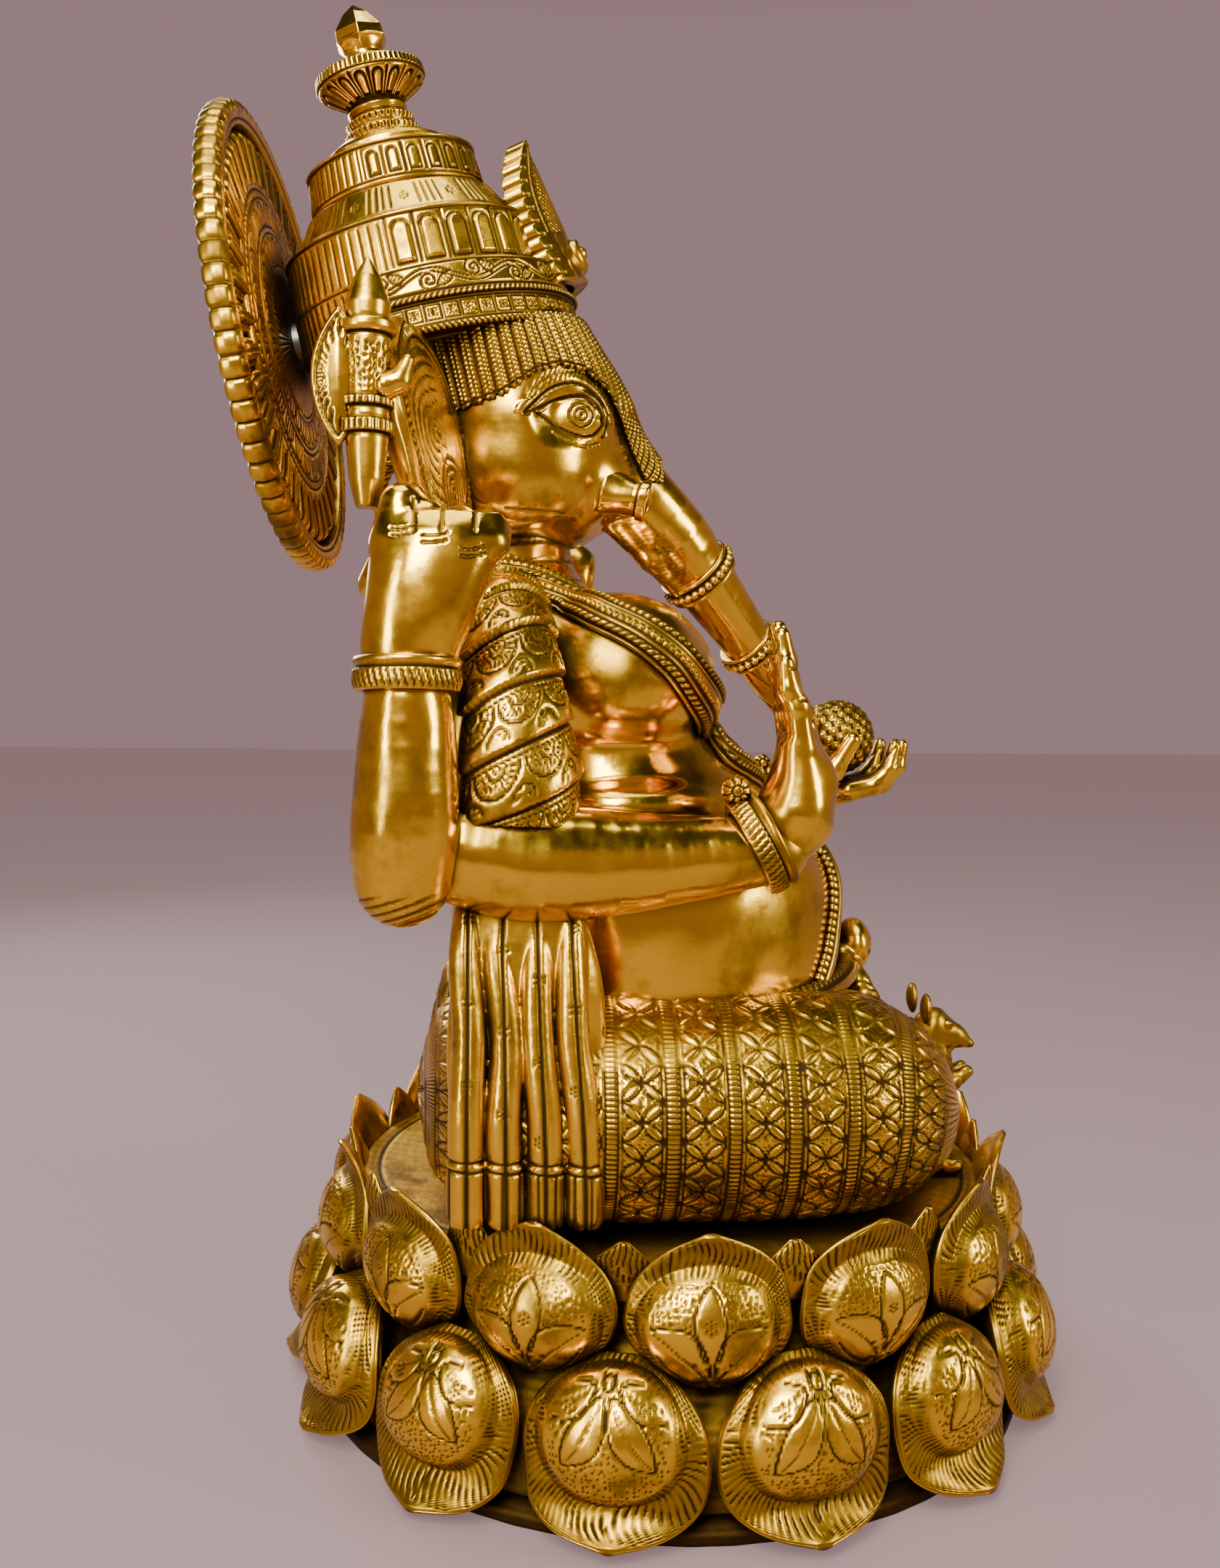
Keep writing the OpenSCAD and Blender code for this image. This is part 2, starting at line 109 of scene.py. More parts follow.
def chance(i, j, seed=0):
    """Fixed scatter, 0 to 1, for whole numbers i and j."""
    n = np.sin(i * 127.1 + j * 311.7 + seed * 74.7) * 43758.5453
    return n - np.floor(n)


def stipple(u, v, pitch, radius, seed=0):
    """Punched dots, each shaken off the middle of its cell."""
    i = np.floor(u / pitch)
    j = np.floor(v / pitch)
    du = cell(u, pitch) - (chance(i, j, seed) - 0.5) * 0.7 * pitch
    dv = cell(v, pitch) - (chance(i, j, seed + 1) - 0.5) * 0.7 * pitch
    return 1 - ramp(0.4 * radius, radius, np.hypot(du, dv))


def rosette(u, v, radius, dot):
    """Ring of six punched dots round a seventh."""
    turn = np.arctan2(v, u)
    r = np.hypot(u, v)
    arc_at = cell(turn, TAU / 6) * radius
    return np.maximum(line(np.hypot(arc_at, r - radius), dot), line(r, dot))


def leaf(p, q, half_len, half_wide):
    """Signed distance to a pointed oval along p."""
    radius = (half_len**2 + half_wide**2) / (2 * half_wide)
    off = radius - half_wide
    return np.hypot(p, np.abs(q) + off) - radius


def spiral(p, q, gap, turns, half, sign=1):
    """Cut line that winds out from the centre."""
    r = np.hypot(p, q)
    turn = sign * np.arctan2(q, p) / TAU
    wound = cell(r - turn * gap + gap / 2, gap)
    return line(wound, half) * (r < gap * turns)


def bead(d, radius):
    """Height of a round bead, 0 to 1, at a distance from its middle."""
    return np.sqrt(np.clip(1 - (d / radius) ** 2, 0, 1))


def bead_row(u, v, pitch, radius):
    """Lift and ink of one row of beads along u."""
    top = bead(np.hypot(cell(u, pitch) * radius * 2 / pitch, v), radius)
    return top * radius * 0.7, (1 - ramp(0.0, 0.55, top)) * (np.abs(v) < radius * 1.15)


def rope(u, v, pitch, half):
    """Lift and ink of a twisted cord along u."""
    body = bead(v, half)
    twist = cuts(u + v * 0.9, pitch, 0.3 * pitch)
    return body * half * 0.7, np.maximum(twist * (body > 0.05), line(np.abs(v) - half, 0.25 * half + 0.3))


def merge(*parts):
    """Highest lift and darkest ink of several reliefs."""
    lift = most([p[0] for p in parts])
    return lift, most([p[1] for p in parts])


def wobble(points, size, seed=0):
    """Slow unevenness of hand work, -1 to 1."""
    x, y, z = points[..., 0] / size, points[..., 1] / size, points[..., 2] / size
    a = np.sin(x * 2.1 + seed) * np.cos(y * 1.7 - seed * 2) + np.sin(z * 1.9 + x * 1.3 + seed * 3)
    return (a + np.sin(y * 3.1 + z * 2.3 + seed)) / 3


# ------------------------------------------------------------ shells

def curve(stations, per=8):
    """Smooth curve through stations, with each station's radii."""
    s = np.array(stations, float)
    pad = np.vstack([s[0], s, s[-1]])
    t = (np.arange(per) / per)[:, None]
    rows = []
    for a, b, c, d in zip(pad, pad[1:], pad[2:], pad[3:]):
        rows.append(0.5 * (2 * b + (c - a) * t + (2 * a - 5 * b + 4 * c - d) * t**2
                           + (3 * b - a - 3 * c + d) * t**3))
    return np.vstack(rows + [s[-1:]])


def spread(rows, step):
    """The same curve with points an even step apart, and the distance along it."""
    gaps = np.linalg.norm(np.diff(rows[:, :3], axis=0), axis=1)
    along = np.concatenate([[0], np.cumsum(gaps)])
    count = max(4, int(along[-1] / step) + 1)
    at = np.linspace(0, along[-1], count)
    return np.stack([np.interp(at, along, rows[:, k]) for k in range(rows.shape[1])], 1), at


def stroke(u, v, path):
    """Distance to a smooth line drawn through points."""
    pts = curve(path, 5)
    best = np.full(np.shape(u), 1e3)
    for a, b in zip(pts, pts[1:]):
        du, dv = b - a
        t = np.clip(((u - a[0]) * du + (v - a[1]) * dv) / max(du * du + dv * dv, 1e-9), 0, 1)
        best = np.minimum(best, np.hypot(u - a[0] - t * du, v - a[1] - t * dv))
    return best


def unit(v):
    return v / np.maximum(np.linalg.norm(v, axis=-1, keepdims=True), 1e-9)


def grid_skin(grid, lift=0.0, ink=0.0, close_rows=False):
    """Points, faces and ink of a grid whose columns close on themselves."""
    rows, cols = grid.shape[:2]
    if close_rows:
        down = np.roll(grid, -1, 0) - np.roll(grid, 1, 0)
    else:
        down = np.gradient(grid, axis=0)
    normal = np.cross(down, np.roll(grid, -1, 1) - np.roll(grid, 1, 1))
    centre = grid.reshape(-1, 3).mean(0)
    inside_out = ((grid - centre) * normal).sum() < 0
    normal = unit(normal) * (-1 if inside_out else 1)
    lift = np.broadcast_to(lift, (rows, cols))
    ink = np.broadcast_to(ink, (rows, cols))
    points = grid + normal * (lift - CUT * ink)[..., None]
    index = np.arange(rows * cols).reshape(rows, cols)
    if close_rows:
        index = np.vstack([index, index[:1]])
    a, b = index[:-1], index[1:]
    faces = np.stack([a, np.roll(a, -1, 1), np.roll(b, -1, 1), b], -1).reshape(-1, 4)
    faces = faces[:, ::-1] if not inside_out else faces
    points = points.reshape(-1, 3)
    ink = ink.reshape(-1)
    if not close_rows:
        caps = []
        for ring, reverse in ((index[0], True), (index[-1], False)):
            tip = len(points)
            points = np.vstack([points, points[ring].mean(0)])
            ink = np.append(ink, ink[ring].mean())
            cap = np.stack([ring[0::2], ring[1::2], np.roll(ring, -2)[0::2], np.full(cols // 2, tip)], -1)
            caps.append(cap[:, ::-1] if reverse == inside_out else cap)
        faces = np.vstack([faces] + caps)
    return points, faces, ink


def around(length, step, arc=TAU):
    """Angles of an even number of steps round a ring."""
    return np.linspace(0, arc, 2 * max(4, math.ceil(length / step / COARSE / 2)), endpoint=False)


def tube(stations, relief=None, side=(1, 0, 0), axis=None, step=1.0):
    """Oval limb. relief takes the distance along, the angle round, and the points."""
    rows, along = spread(curve(stations), step * COARSE)
    path = unit(np.gradient(rows[:, :3], axis=0)) if axis is None else np.tile(axis, (len(rows), 1))
    wanted = side(rows[:, :3]) if callable(side) else np.array(side, float)
    u = unit(wanted - (path * wanted).sum(1, keepdims=True) * path)
    v = np.cross(path, u)
    widest = rows[:, 3:5].max(0).mean()
    angle = around(TAU * widest, step)
    ring = (rows[:, None, 3:4] * np.cos(angle)[None, :, None] * u[:, None]
            + rows[:, None, 4:5] * np.sin(angle)[None, :, None] * v[:, None])
    grid = rows[:, None, :3] + ring
    lift, ink = (0.0, 0.0) if relief is None else relief(along[:, None], angle[None, :], grid)
    return grid_skin(grid, lift, ink)


def lathe(profile, relief=None, step=1.0, place=None, closed=True, start=0.0, arc=TAU):
    """Turned shape. relief takes the distance along the profile, the angle and the radius."""
    outline = np.array(list(profile) + ([profile[0]] if closed else []), float)
    outline, along = spread(np.column_stack([outline, np.zeros(len(outline))]), step * COARSE)
    if closed:
        outline, along = outline[:-1], along[:-1]
    widest = outline[:, 0].max()
    angle = around(arc * widest, step, arc)
    grid = np.stack([outline[:, :1] * np.cos(start + angle), outline[:, :1] * np.sin(start + angle),
                     outline[:, 1:2] + 0 * angle], -1)
    shape = (along[:, None], (start + angle)[None, :], outline[:, :1], outline[:, 1:2])
    lift, ink = (0.0, 0.0) if relief is None else relief(*shape)
    points, faces, ink = grid_skin(grid, lift, ink, close_rows=closed)
    return (points if place is None else place(points)), faces, ink


def torus(radius, thick, relief=None, step=0.8, place=None):
    """Round ring."""
    ring = np.linspace(0, TAU, max(12, int(TAU * thick / step / COARSE)), endpoint=False)
    profile = np.column_stack([radius + thick * np.cos(ring), thick * np.sin(ring)])
    return lathe(profile, relief, step, place)


def join(*skins):
    """Several skins as one."""
    points, faces, ink, start = [], [], [], 0
    for p, f, i in skins:
        points.append(p)
        faces.append(f + start)
        ink.append(i)
        start += len(p)
    return np.vstack(points), np.vstack(faces), np.concatenate(ink)


def mirrored(skin):
    """The same skin on the other side of the idol."""
    points, faces, ink = skin
    return points * [-1, 1, 1], faces[:, ::-1], ink


# ------------------------------------------------------------ sculpts

def ball(p, centre, radii):
    """Distance to an ellipsoid."""
    q = p - np.array(centre, float)
    radii = np.broadcast_to(np.array(radii, float), (3,))
    k = np.linalg.norm(q / radii, axis=-1)
    return k * (k - 1) / np.maximum(np.linalg.norm(q / radii**2, axis=-1), 1e-6)


def rod(p, a, b):
    """Round rod between stations x, y, z, r."""
    a, b = np.array(a, float), np.array(b, float)
    ab = b[:3] - a[:3]
    h = np.clip((p - a[:3]) @ ab / (ab @ ab), 0, 1)
    return np.linalg.norm(p - a[:3] - h[..., None] * ab, axis=-1) - (a[3] + h * (b[3] - a[3]))


def blend(a, b, k):
    """Union of two distances with a fillet of size k."""
    if k <= 0:
        return np.minimum(a, b)
    h = np.clip(k - np.abs(a - b), 0, None) / k
    return np.minimum(a, b) - h * h * k / 4


def carve(a, b, k):
    """The first shape less the second, with a fillet of size k."""
    return -blend(-a, b, k)


def chain(p, stations, k=3.0, per=1):
    """Blended rods through stations x, y, z, r, or one smooth rod with per steps a station."""
    s = np.array(stations, float) if per == 1 else curve(stations, per)
    k = k if per == 1 else 0
    d = rod(p, s[0], s[1])
    for a, b in zip(s[1:], s[2:]):
        d = blend(d, rod(p, a, b), k)
    return d


def stack(p, rows, axis=2, sign=1):
    """Ovals square to one axis, through smooth stations x, y, z, a, b."""
    order = np.argsort(rows[:, axis])
    s = rows[order]
    at = np.clip(p[..., axis], s[0, axis], s[-1, axis])
    other = [k for k in range(3) if k != axis]
    q = [p[..., k] - np.interp(at, s[:, axis], s[:, k]) for k in other]
    r = [np.interp(at, s[:, axis], s[:, k]) for k in (3, 4)]
    k = np.sqrt((q[0] / r[0]) ** 2 + (q[1] / r[1]) ** 2)
    slope = np.sqrt((q[0] / r[0] ** 2) ** 2 + (q[1] / r[1] ** 2) ** 2)
    side = k * (k - 1) / np.maximum(slope, 1e-6)
    end = np.maximum(s[0, axis] - p[..., axis], p[..., axis] - s[-1, axis])
    return np.where(end > 0, np.hypot(np.maximum(side, 0), end), np.maximum(side, end))


POOL = ThreadPoolExecutor(4)


def measured(field, points):
    """A distance field at many points, worked out on several threads."""
    parts = np.array_split(points, max(1, len(points) // 60000))
    return np.concatenate(list(POOL.map(field, parts)))


def sculpt(field, low, high, voxel=1.0, relief=None):
    """Mesh of a distance field. Only the blocks near its surface are worked out finely."""
    voxel, block = voxel * COARSE, 4
    low, high = np.array(low, float), np.array(high, float)
    blocks = np.ceil((high - low) / voxel / block).astype(int) + 1
    where = np.stack(np.meshgrid(*[np.arange(n) for n in blocks], indexing="ij"), -1).reshape(-1, 3)
    rough = measured(field, low + (where + 0.5) * block * voxel)
    near = np.abs(rough) < block * voxel * 1.1 + 1.5
    fine = np.repeat(np.repeat(np.repeat(rough.reshape(blocks), block, 0), block, 1), block, 2)
    fine = np.ascontiguousarray(fine, np.float32)
    inner = np.stack(np.meshgrid(*[np.arange(block)] * 3, indexing="ij"), -1).reshape(-1, 3)
    samples = (where[near][:, None] * block + inner[None]).reshape(-1, 3)
    values = measured(field, low + samples * voxel).reshape(-1, block, block, block)
    view = fine.reshape(blocks[0], block, blocks[1], block, blocks[2], block).transpose(0, 2, 4, 1, 3, 5)
    view[near.reshape(blocks)] = values
    grid = openvdb.FloatGrid()
    grid.copyFromArray(fine)
    points, _, faces = grid.convertToPolygons(isovalue=0.0, adaptivity=0.0)
    points = low + np.asarray(points, float) * voxel
    faces = np.asarray(faces, np.int64)
    corner = points[faces]
    face_normal = np.cross(corner[:, 2] - corner[:, 0], corner[:, 3] - corner[:, 1])
    if (corner.mean(1) * face_normal).sum() < 0:
        faces, face_normal = faces[:, ::-1], -face_normal
    ink = np.zeros(len(points))
    if relief is not None:
        normal = np.stack([np.bincount(faces.ravel(), np.repeat(face_normal[:, k], 4), len(points))
                           for k in range(3)], 1)
        normal = unit(normal)
        lift, ink = relief(points, normal)
        ink = np.broadcast_to(ink, len(points))
        points = points + normal * (lift - CUT * ink)[:, None]
    return points, faces, ink


# ------------------------------------------------------------ materials

HOLLOW_REACH = 0.016
DENT_DEPTH = 0.0004


def brass(name, gold, dark_tone, gloss, stain, dent):
    """Metal whose cut lines and slow stains carry a dark patina, and whose hollows and gaps between parts
    are darkened by an occlusion test, partly patina and partly painted shade.
    """
    mat = bpy.data.materials.new(name)
    mat.use_nodes = True
    nodes, links = mat.node_tree.nodes, mat.node_tree.links
    shader = nodes["Principled BSDF"]
    shader.inputs["Metallic"].default_value = 1.0
    where = nodes.new("ShaderNodeTexCoord").outputs["Object"]

    def noise(scale, detail, rough):
        made = nodes.new("ShaderNodeTexNoise")
        made.inputs["Scale"].default_value = scale
        made.inputs["Detail"].default_value = detail
        made.inputs["Roughness"].default_value = rough
        links.new(where, made.inputs["Vector"])
        return made.outputs["Fac"]

    def spread_of(value, low, high, out_low, out_high):
        made = nodes.new("ShaderNodeMapRange")
        made.interpolation_type = "SMOOTHSTEP"
        for key, number in (("From Min", low), ("From Max", high), ("To Min", out_low),
                            ("To Max", out_high)):
            made.inputs[key].default_value = number
        links.new(value, made.inputs["Value"])
        return made.outputs["Result"]

    def larger(a, b, operation="MAXIMUM"):
        made = nodes.new("ShaderNodeMath")
        made.operation = operation
        made.use_clamp = True
        links.new(a, made.inputs[0])
        links.new(b, made.inputs[1])
        return made.outputs["Value"]

    ink = nodes.new("ShaderNodeAttribute")
    ink.attribute_name = "ink"
    # Painted shade, partly patina: an occlusion test darkens hollows and the gaps between parts.
    hollow = nodes.new("ShaderNodeAmbientOcclusion")
    hollow.samples = 4
    hollow.inputs["Distance"].default_value = HOLLOW_REACH
    recess_patina_and_shade = spread_of(hollow.outputs["AO"], 0.12, 0.78, 1.0, 0.0)
    blotch = spread_of(noise(26.0, 6.0, 0.60), 0.46, 0.72, 0.0, stain)
    speck = spread_of(noise(420.0, 3.0, 0.6), 0.66, 0.78, 0.0, 0.35 * stain)
    patina_stain_and_shade = larger(larger(ink.outputs["Fac"], recess_patina_and_shade), larger(blotch, speck))
    tone = nodes.new("ShaderNodeValToRGB")
    tone.color_ramp.elements[0].color = (*gold, 1)
    tone.color_ramp.elements[1].color = (*dark_tone, 1)
    tone.color_ramp.elements[1].position = 0.82
    middle = tone.color_ramp.elements.new(0.36)
    middle.color = (gold[0] * 0.38, gold[1] * 0.36, gold[2] * 0.36, 1)
    links.new(patina_stain_and_shade, tone.inputs["Fac"])
    links.new(tone.outputs["Color"], shader.inputs["Base Color"])
    wear = spread_of(noise(90.0, 4.0, 0.6), 0.3, 0.8, 0.0, 0.12)
    rough = larger(spread_of(patina_stain_and_shade, 0.0, 1.0, gloss, 0.62), wear, "ADD")
    links.new(rough, shader.inputs["Roughness"])
    bump = nodes.new("ShaderNodeBump")
    bump.inputs["Strength"].default_value = dent
    bump.inputs["Distance"].default_value = DENT_DEPTH
    links.new(noise(260.0, 5.0, 0.55), bump.inputs["Height"])
    links.new(bump.outputs["Normal"], shader.inputs["Normal"])
    return mat


GOLD = (0.90, 0.545, 0.030)
PATINA_AND_SHADE = (0.040, 0.020, 0.005)
POLISHED = brass("polished_brass", GOLD, PATINA_AND_SHADE, 0.13, 0.42, 0.15)
CHASED = brass("chased_brass", (0.86, 0.51, 0.028), PATINA_AND_SHADE, 0.20, 0.62, 0.35)
CAST = brass("cast_brass", (0.66, 0.38, 0.026), PATINA_AND_SHADE, 0.40, 0.90, 0.8)


def steel():
    """Plain bright steel of the bolts, darkened by handling."""
    mat = bpy.data.materials.new("bolt_steel")
    mat.use_nodes = True
    shader = mat.node_tree.nodes["Principled BSDF"]
    shader.inputs["Metallic"].default_value = 1.0
    shader.inputs["Base Color"].default_value = (0.30, 0.29, 0.27, 1)
    shader.inputs["Roughness"].default_value = 0.34
    return mat


def make(name, skin, mat, *nodes):
    """Turns a skin into a piece that stands for CAD nodes, or for the one node of its name."""
    nodes = nodes or (name,)
    points, faces, ink = skin
    mesh = bpy.data.meshes.new(name)
    mesh.vertices.add(len(points))
    mesh.vertices.foreach_set("co", (points * MM).astype(np.float32).ravel())
    mesh.loops.add(faces.size)
    mesh.loops.foreach_set("vertex_index", faces.astype(np.int32).ravel())
    mesh.polygons.add(len(faces))
    mesh.polygons.foreach_set("loop_start", np.arange(0, faces.size, 4, dtype=np.int32))
    mesh.update(calc_edges=True)
    mesh.validate()
    mesh.shade_smooth()
    layer = mesh.attributes.new("ink", "FLOAT", "POINT")
    layer.data.foreach_set("value", np.clip(ink, 0, 1).astype(np.float32))
    mesh.materials.append(mat)
    piece = bpy.data.objects.new(name, mesh)
    bpy.context.scene.collection.objects.link(piece)
    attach(piece, "root")
    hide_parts(*nodes)


def make_pair(name, skin, mat):
    """The right piece, and its mirror image on the left."""
    make("right_" + name, skin, mat)
    make("left_" + name, mirrored(skin), mat)


# ------------------------------------------------------------ pedestal

PETALS = 14
PITCH = TAU / PETALS
_, foot_hi = node_box("foot_ring")
_, plate_hi = node_box("seat_plate")
FOOT_R = foot_hi[0]
SEAT_Z, SEAT_R = plate_hi[2], plate_hi[0]


def cast_skin(along, angle, r, z):
    """Rough surface left by the mould."""
    rough = np.sin(angle * 37 + z * 0.7) * np.sin(angle * 23 - z * 0.9)
    return 0.35 * rough, 0.66 + 0.25 * rough


def foot_ring():
    """Foot under the petals, painted dark all over as the shade beneath them."""
    profile = [(FOOT_R - 22, 0), (FOOT_R, 0), (FOOT_R, 5), (FOOT_R - 5, 8), (FOOT_R - 22, 8)]
    points, faces, ink = lathe(profile, cast_skin, 1.8)
    # Painted shade: the whole ring is inked at least 0.8 dark.
    return points, faces, np.maximum(ink, 0.8)


def pedestal_wall():
    profile = [
        (146, 8), (155, 8), (152, 24), (139, 46), (127, 62), (130, 76), (138, SEAT_Z - 6),
        (133, SEAT_Z - 6), (125, 77), (122, 62), (133, 43), (146, 22),
    ]
    return lathe(profile, cast_skin, 2.0)


def seat_plate():
    def relief(along, angle, r, z):
        brushed = 0.12 * np.sin(angle * 61 + r * 0.8) * np.sin(angle * 47 - r * 0.5)
        rings = np.maximum(line(r - SEAT_R + 4, 0.8), line(r - SEAT_R + 8, 0.8))
        return brushed, 0.9 * rings + 0.12 + brushed
    profile = [(0.5, SEAT_Z - 6), (SEAT_R - 1, SEAT_Z - 6), (SEAT_R, SEAT_Z - 5), (SEAT_R, SEAT_Z - 1),
               (SEAT_R - 1, SEAT_Z), (0.5, SEAT_Z)]
    return lathe(profile, relief, 1.6)


def petal(stations, chase, seed, front, step=0.75):
    """One cast petal, root to tip. chase takes place across -1 to 1 and along 0 to 1."""
    rows, along = spread(curve(stations), step * COARSE)
    path = unit(np.gradient(rows[:, :3], axis=0))
    out = np.cross(path, [0, 1, 0])
    if out[len(out) // 2, 0] < 0:
        out = -out
    count = 2 * int(front / COARSE / 2)
    angle = np.concatenate([np.linspace(0, math.pi, count, endpoint=False),
                            np.linspace(math.pi, TAU, 2 * (count // 12), endpoint=False)])
    across = np.cos(angle)[None, :]
    face = np.sin(angle)[None, :] > 0.02
    at = (along / along[-1])[:, None]
    grid = (rows[:, None, :3] + rows[:, 3][:, None, None] * across[..., None] * np.array([0, 1.0, 0])
            + (rows[:, 4][:, None] * np.sin(angle)[None, :])[..., None] * out[:, None, :])
    lift, ink = chase(across, at, rows[:, 3][:, None], along[-1], seed)
    return grid_skin(grid, lift * face, ink * face)


def hatched_border(radius, turn, seed):
    """Short cuts that ring a boss, a little uneven as a chisel leaves them."""
    swing = turn + 0.03 * np.sin(turn * 5 + seed) + 0.10 * np.sin(radius * 3 + turn * 2)
    nicks = cuts(swing * 30.0, 2.5, 0.62)
    rows = 0.5 + 0.5 * np.sin(radius * 9 + 2.5 * np.sin(turn * 7 + seed))
    return nicks * np.clip(0.55 + 0.6 * rows, 0, 1)


def petal_rim(across, at, radius, turn, seed):
    """Hatched border, kept off the petal's very edge, with the petal darkened outside the boss."""
    on = (np.abs(across) < 0.97) * (at < 0.96)
    hatch = hatched_border(radius, turn, seed) * ramp(1.0, 1.12, radius) * on
    return np.maximum(hatch, 0.32 * ramp(0.95, 1.15, radius))


def palmette(u, v, spread_angles, length, width, foot_gap):
    """Leaves that open from one point: ink of their outlines, and distance to the nearest."""
    r, turn = np.hypot(u, v), np.arctan2(u, v)
    ink, covered = 0.0, 1e3
    for angle, scale in spread_angles:
        for side in (-1, 1) if angle else (1,):
            swung = turn - side * math.radians(angle)
            p, q = r * np.cos(swung), r * np.sin(swung)
            q = q - side * 0.012 * (p - length * 0.5) ** 2 + side * 1.5
            d = leaf(p - foot_gap - length * scale / 2, q, length * scale / 2, width * scale)
            rib = line(q, 0.35) * (d < -1.2) * 0.7
            ink = np.maximum(ink, np.maximum(line(d, 0.55), rib) * (covered > 0.4))
            covered = np.minimum(covered, d)
    return ink, covered


def sunburst(u, v, near, far, open_angle, pitch=2.9):
    """Rays with a dot at each end."""
    r, turn = np.hypot(u, v), np.arctan2(u, v)
    across = cell(turn * far * 0.8, pitch)
    rays = line(across, 0.65) * within(r, near, far)
    dots = line(np.hypot(across, r - far - 2.4), 0.95)
    return np.maximum(rays, dots) * (np.abs(turn) < open_angle)


def chase_lower(across, at, wide, length, seed):
    """Palmette that hangs from the root, on a domed boss with a hatched border."""
    tilt = 0.06 * math.sin(seed * 2.1)
    u, v = across * wide + tilt * 20, (at - 0.40) * length
    radius = np.hypot(u / 22.5, v / 19.5)
    turn = np.arctan2(u / 22.5, -v / 19.5)
    boss = np.clip(1 - (radius / 1.26) ** 2, 0, 1) ** 0.8
    top = v + 17.5
    leaves, near = palmette(u, top, ((70, 0.95), (30, 1.05)), 23, 5.4, 5.0)
    burst = sunburst(u, top, 4.0, 10.5, 0.95, 2.6) * ramp(-0.2, 0.6, near)
    loop = most([line(np.hypot(u, top - 1.5) - 2.0, 0.65), line(np.abs(u) - 2.0, 0.7) * (top < 0.5)])
    grain = stipple(u, v + 3 * seed, 2.0, 0.66, seed) * ramp(0.5, 1.0, near) * (top > 9) * (np.abs(u) < 21)
    mark = rosette(np.abs(u) - 13, top - 7.5, 1.7, 0.65)
    ink = most([leaves * (np.hypot(u, top) > 5), burst * 0.9, loop, 0.85 * grain, mark]) * (radius < 0.98)
    return 9.5 * boss, np.maximum(ink, petal_rim(across, at, radius, turn, seed))


def chase_upper(across, at, wide, length, seed):
    """Tulip of leaves that opens from the foot, with punched ground beside the middle one."""
    tilt = 0.05 * math.sin(seed * 1.7 + 1)
    u, v = across * wide + tilt * 20, (at - 0.42) * length
    radius = np.hypot(u / 21.5, v / 18.5)
    turn = np.arctan2(u / 21.5, v / 18.5)
    boss = np.clip(1 - (radius / 1.26) ** 2, 0, 1) ** 0.8
    base = v + 17
    middle = leaf(v - 2.5, u, 12.5, 5.4)
    sides, near = palmette(u, base, ((50, 1.12),), 23, 6.4, 1.5)
    burst = sunburst(u, base, 3.0, 8.0, 0.75)
    cleft = line(np.hypot(np.abs(u) - 3.6, base + 1.5) - 3.6, 0.75)
    grain = stipple(u, v + 3 * seed, 1.9, 0.66, seed) * (base > 8)
    grain = grain * ramp(0.8, 1.4, middle) * ramp(0.6, 1.2, near)
    sides = sides * (np.hypot(u, base) > 4)
    mark = rosette(u, v - 2, 1.7, 0.65)
    ink = most([line(middle, 0.6) * (v > -6), burst * 0.9, sides, cleft, 0.9 * grain, mark])
    return 8.5 * boss, np.maximum(ink * (radius < 0.98), petal_rim(across, at, radius, turn, seed))


def chase_tip(across, at, wide, length, seed):
    nicks = cuts(across * wide + 0.3 * np.sin(at * 20), 2.4, 0.55) * (at > 0.35)
    return 0.4 * np.cos(across * 3), np.maximum(nicks, 0.25)


def turned(skin, angle):
    """A skin swung round the upright axis."""
    points, faces, ink = skin
    c, s = math.cos(angle), math.sin(angle)
    return np.column_stack([c * points[:, 0] - s * points[:, 1],
                            s * points[:, 0] + c * points[:, 1], points[:, 2]]), faces, ink


def petal_row(stations, chase, offset, front):
    """Ring of petals, each a little different as hand work is."""
    lower = []
    for i in range(PETALS):
        shaken = [(r + 0.9 * math.sin(i * 2.3 + k), 0.8 * math.sin(i * 3.1 + k * 1.7),
                   z + 0.7 * math.cos(i * 1.9 + k), a, b) for k, (r, _, z, a, b) in enumerate(stations)]
        lower.append(turned(petal(shaken, chase, i, front), math.pi + (i + offset) * PITCH))
    return join(*lower)


LOWER = [(146, 0, 64, 10, 4), (153, 0, 54, 27, 8), (157, 0, 42, 34, 9), (159, 0, 28, 34.5, 9),
         (163, 0, 16, 31, 6), (171, 0, 9, 20, 4), (178, 0, 6.5, 3, 1.6)]
UPPER = [(136, 0, 56, 10, 4), (143, 0, 63, 24, 6), (145, 0, 74, 31, 8), (145, 0, 86, 31, 7.5),
         (146, 0, 97, 27, 4), (149, 0, 106, 17, 2.6), (153, 0, 113, 3, 1.2)]
BETWEEN = [(141, 0, 84, 13, 3), (143, 0, 92, 15, 3), (145, 0, 101, 10, 2.4), (147, 0, 109, 2, 1)]

make("foot_ring", foot_ring(), CAST)
make("pedestal_wall", pedestal_wall(), CAST)
make("seat_plate", seat_plate(), CAST)
make("lower_petals", petal_row(LOWER, chase_lower, 0.5, 132), CHASED)
make("upper_petals", petal_row(UPPER, chase_upper, 0.0, 124), CHASED)
make("between_petals", petal_row(BETWEEN, chase_tip, 0.5, 40), CHASED)

# ------------------------------------------------------------ body

TORSO = [
    (0, 13, 96, 64, 60), (0, 13, 130, 82, 80), (0, 12, 170, 90, 88), (0, 13, 205, 93, 89),
    (0, 15, 235, 91, 86), (0, 25, 262, 83, 70), (0, 36, 290, 74, 56), (0, 46, 315, 72, 50),
    (0, 57, 337, 68, 42), (0, 68, 354, 52, 32), (0, 73, 366, 36, 27), (0, 74, 384, 29, 24),
]
TORSO_ROWS = curve(TORSO)


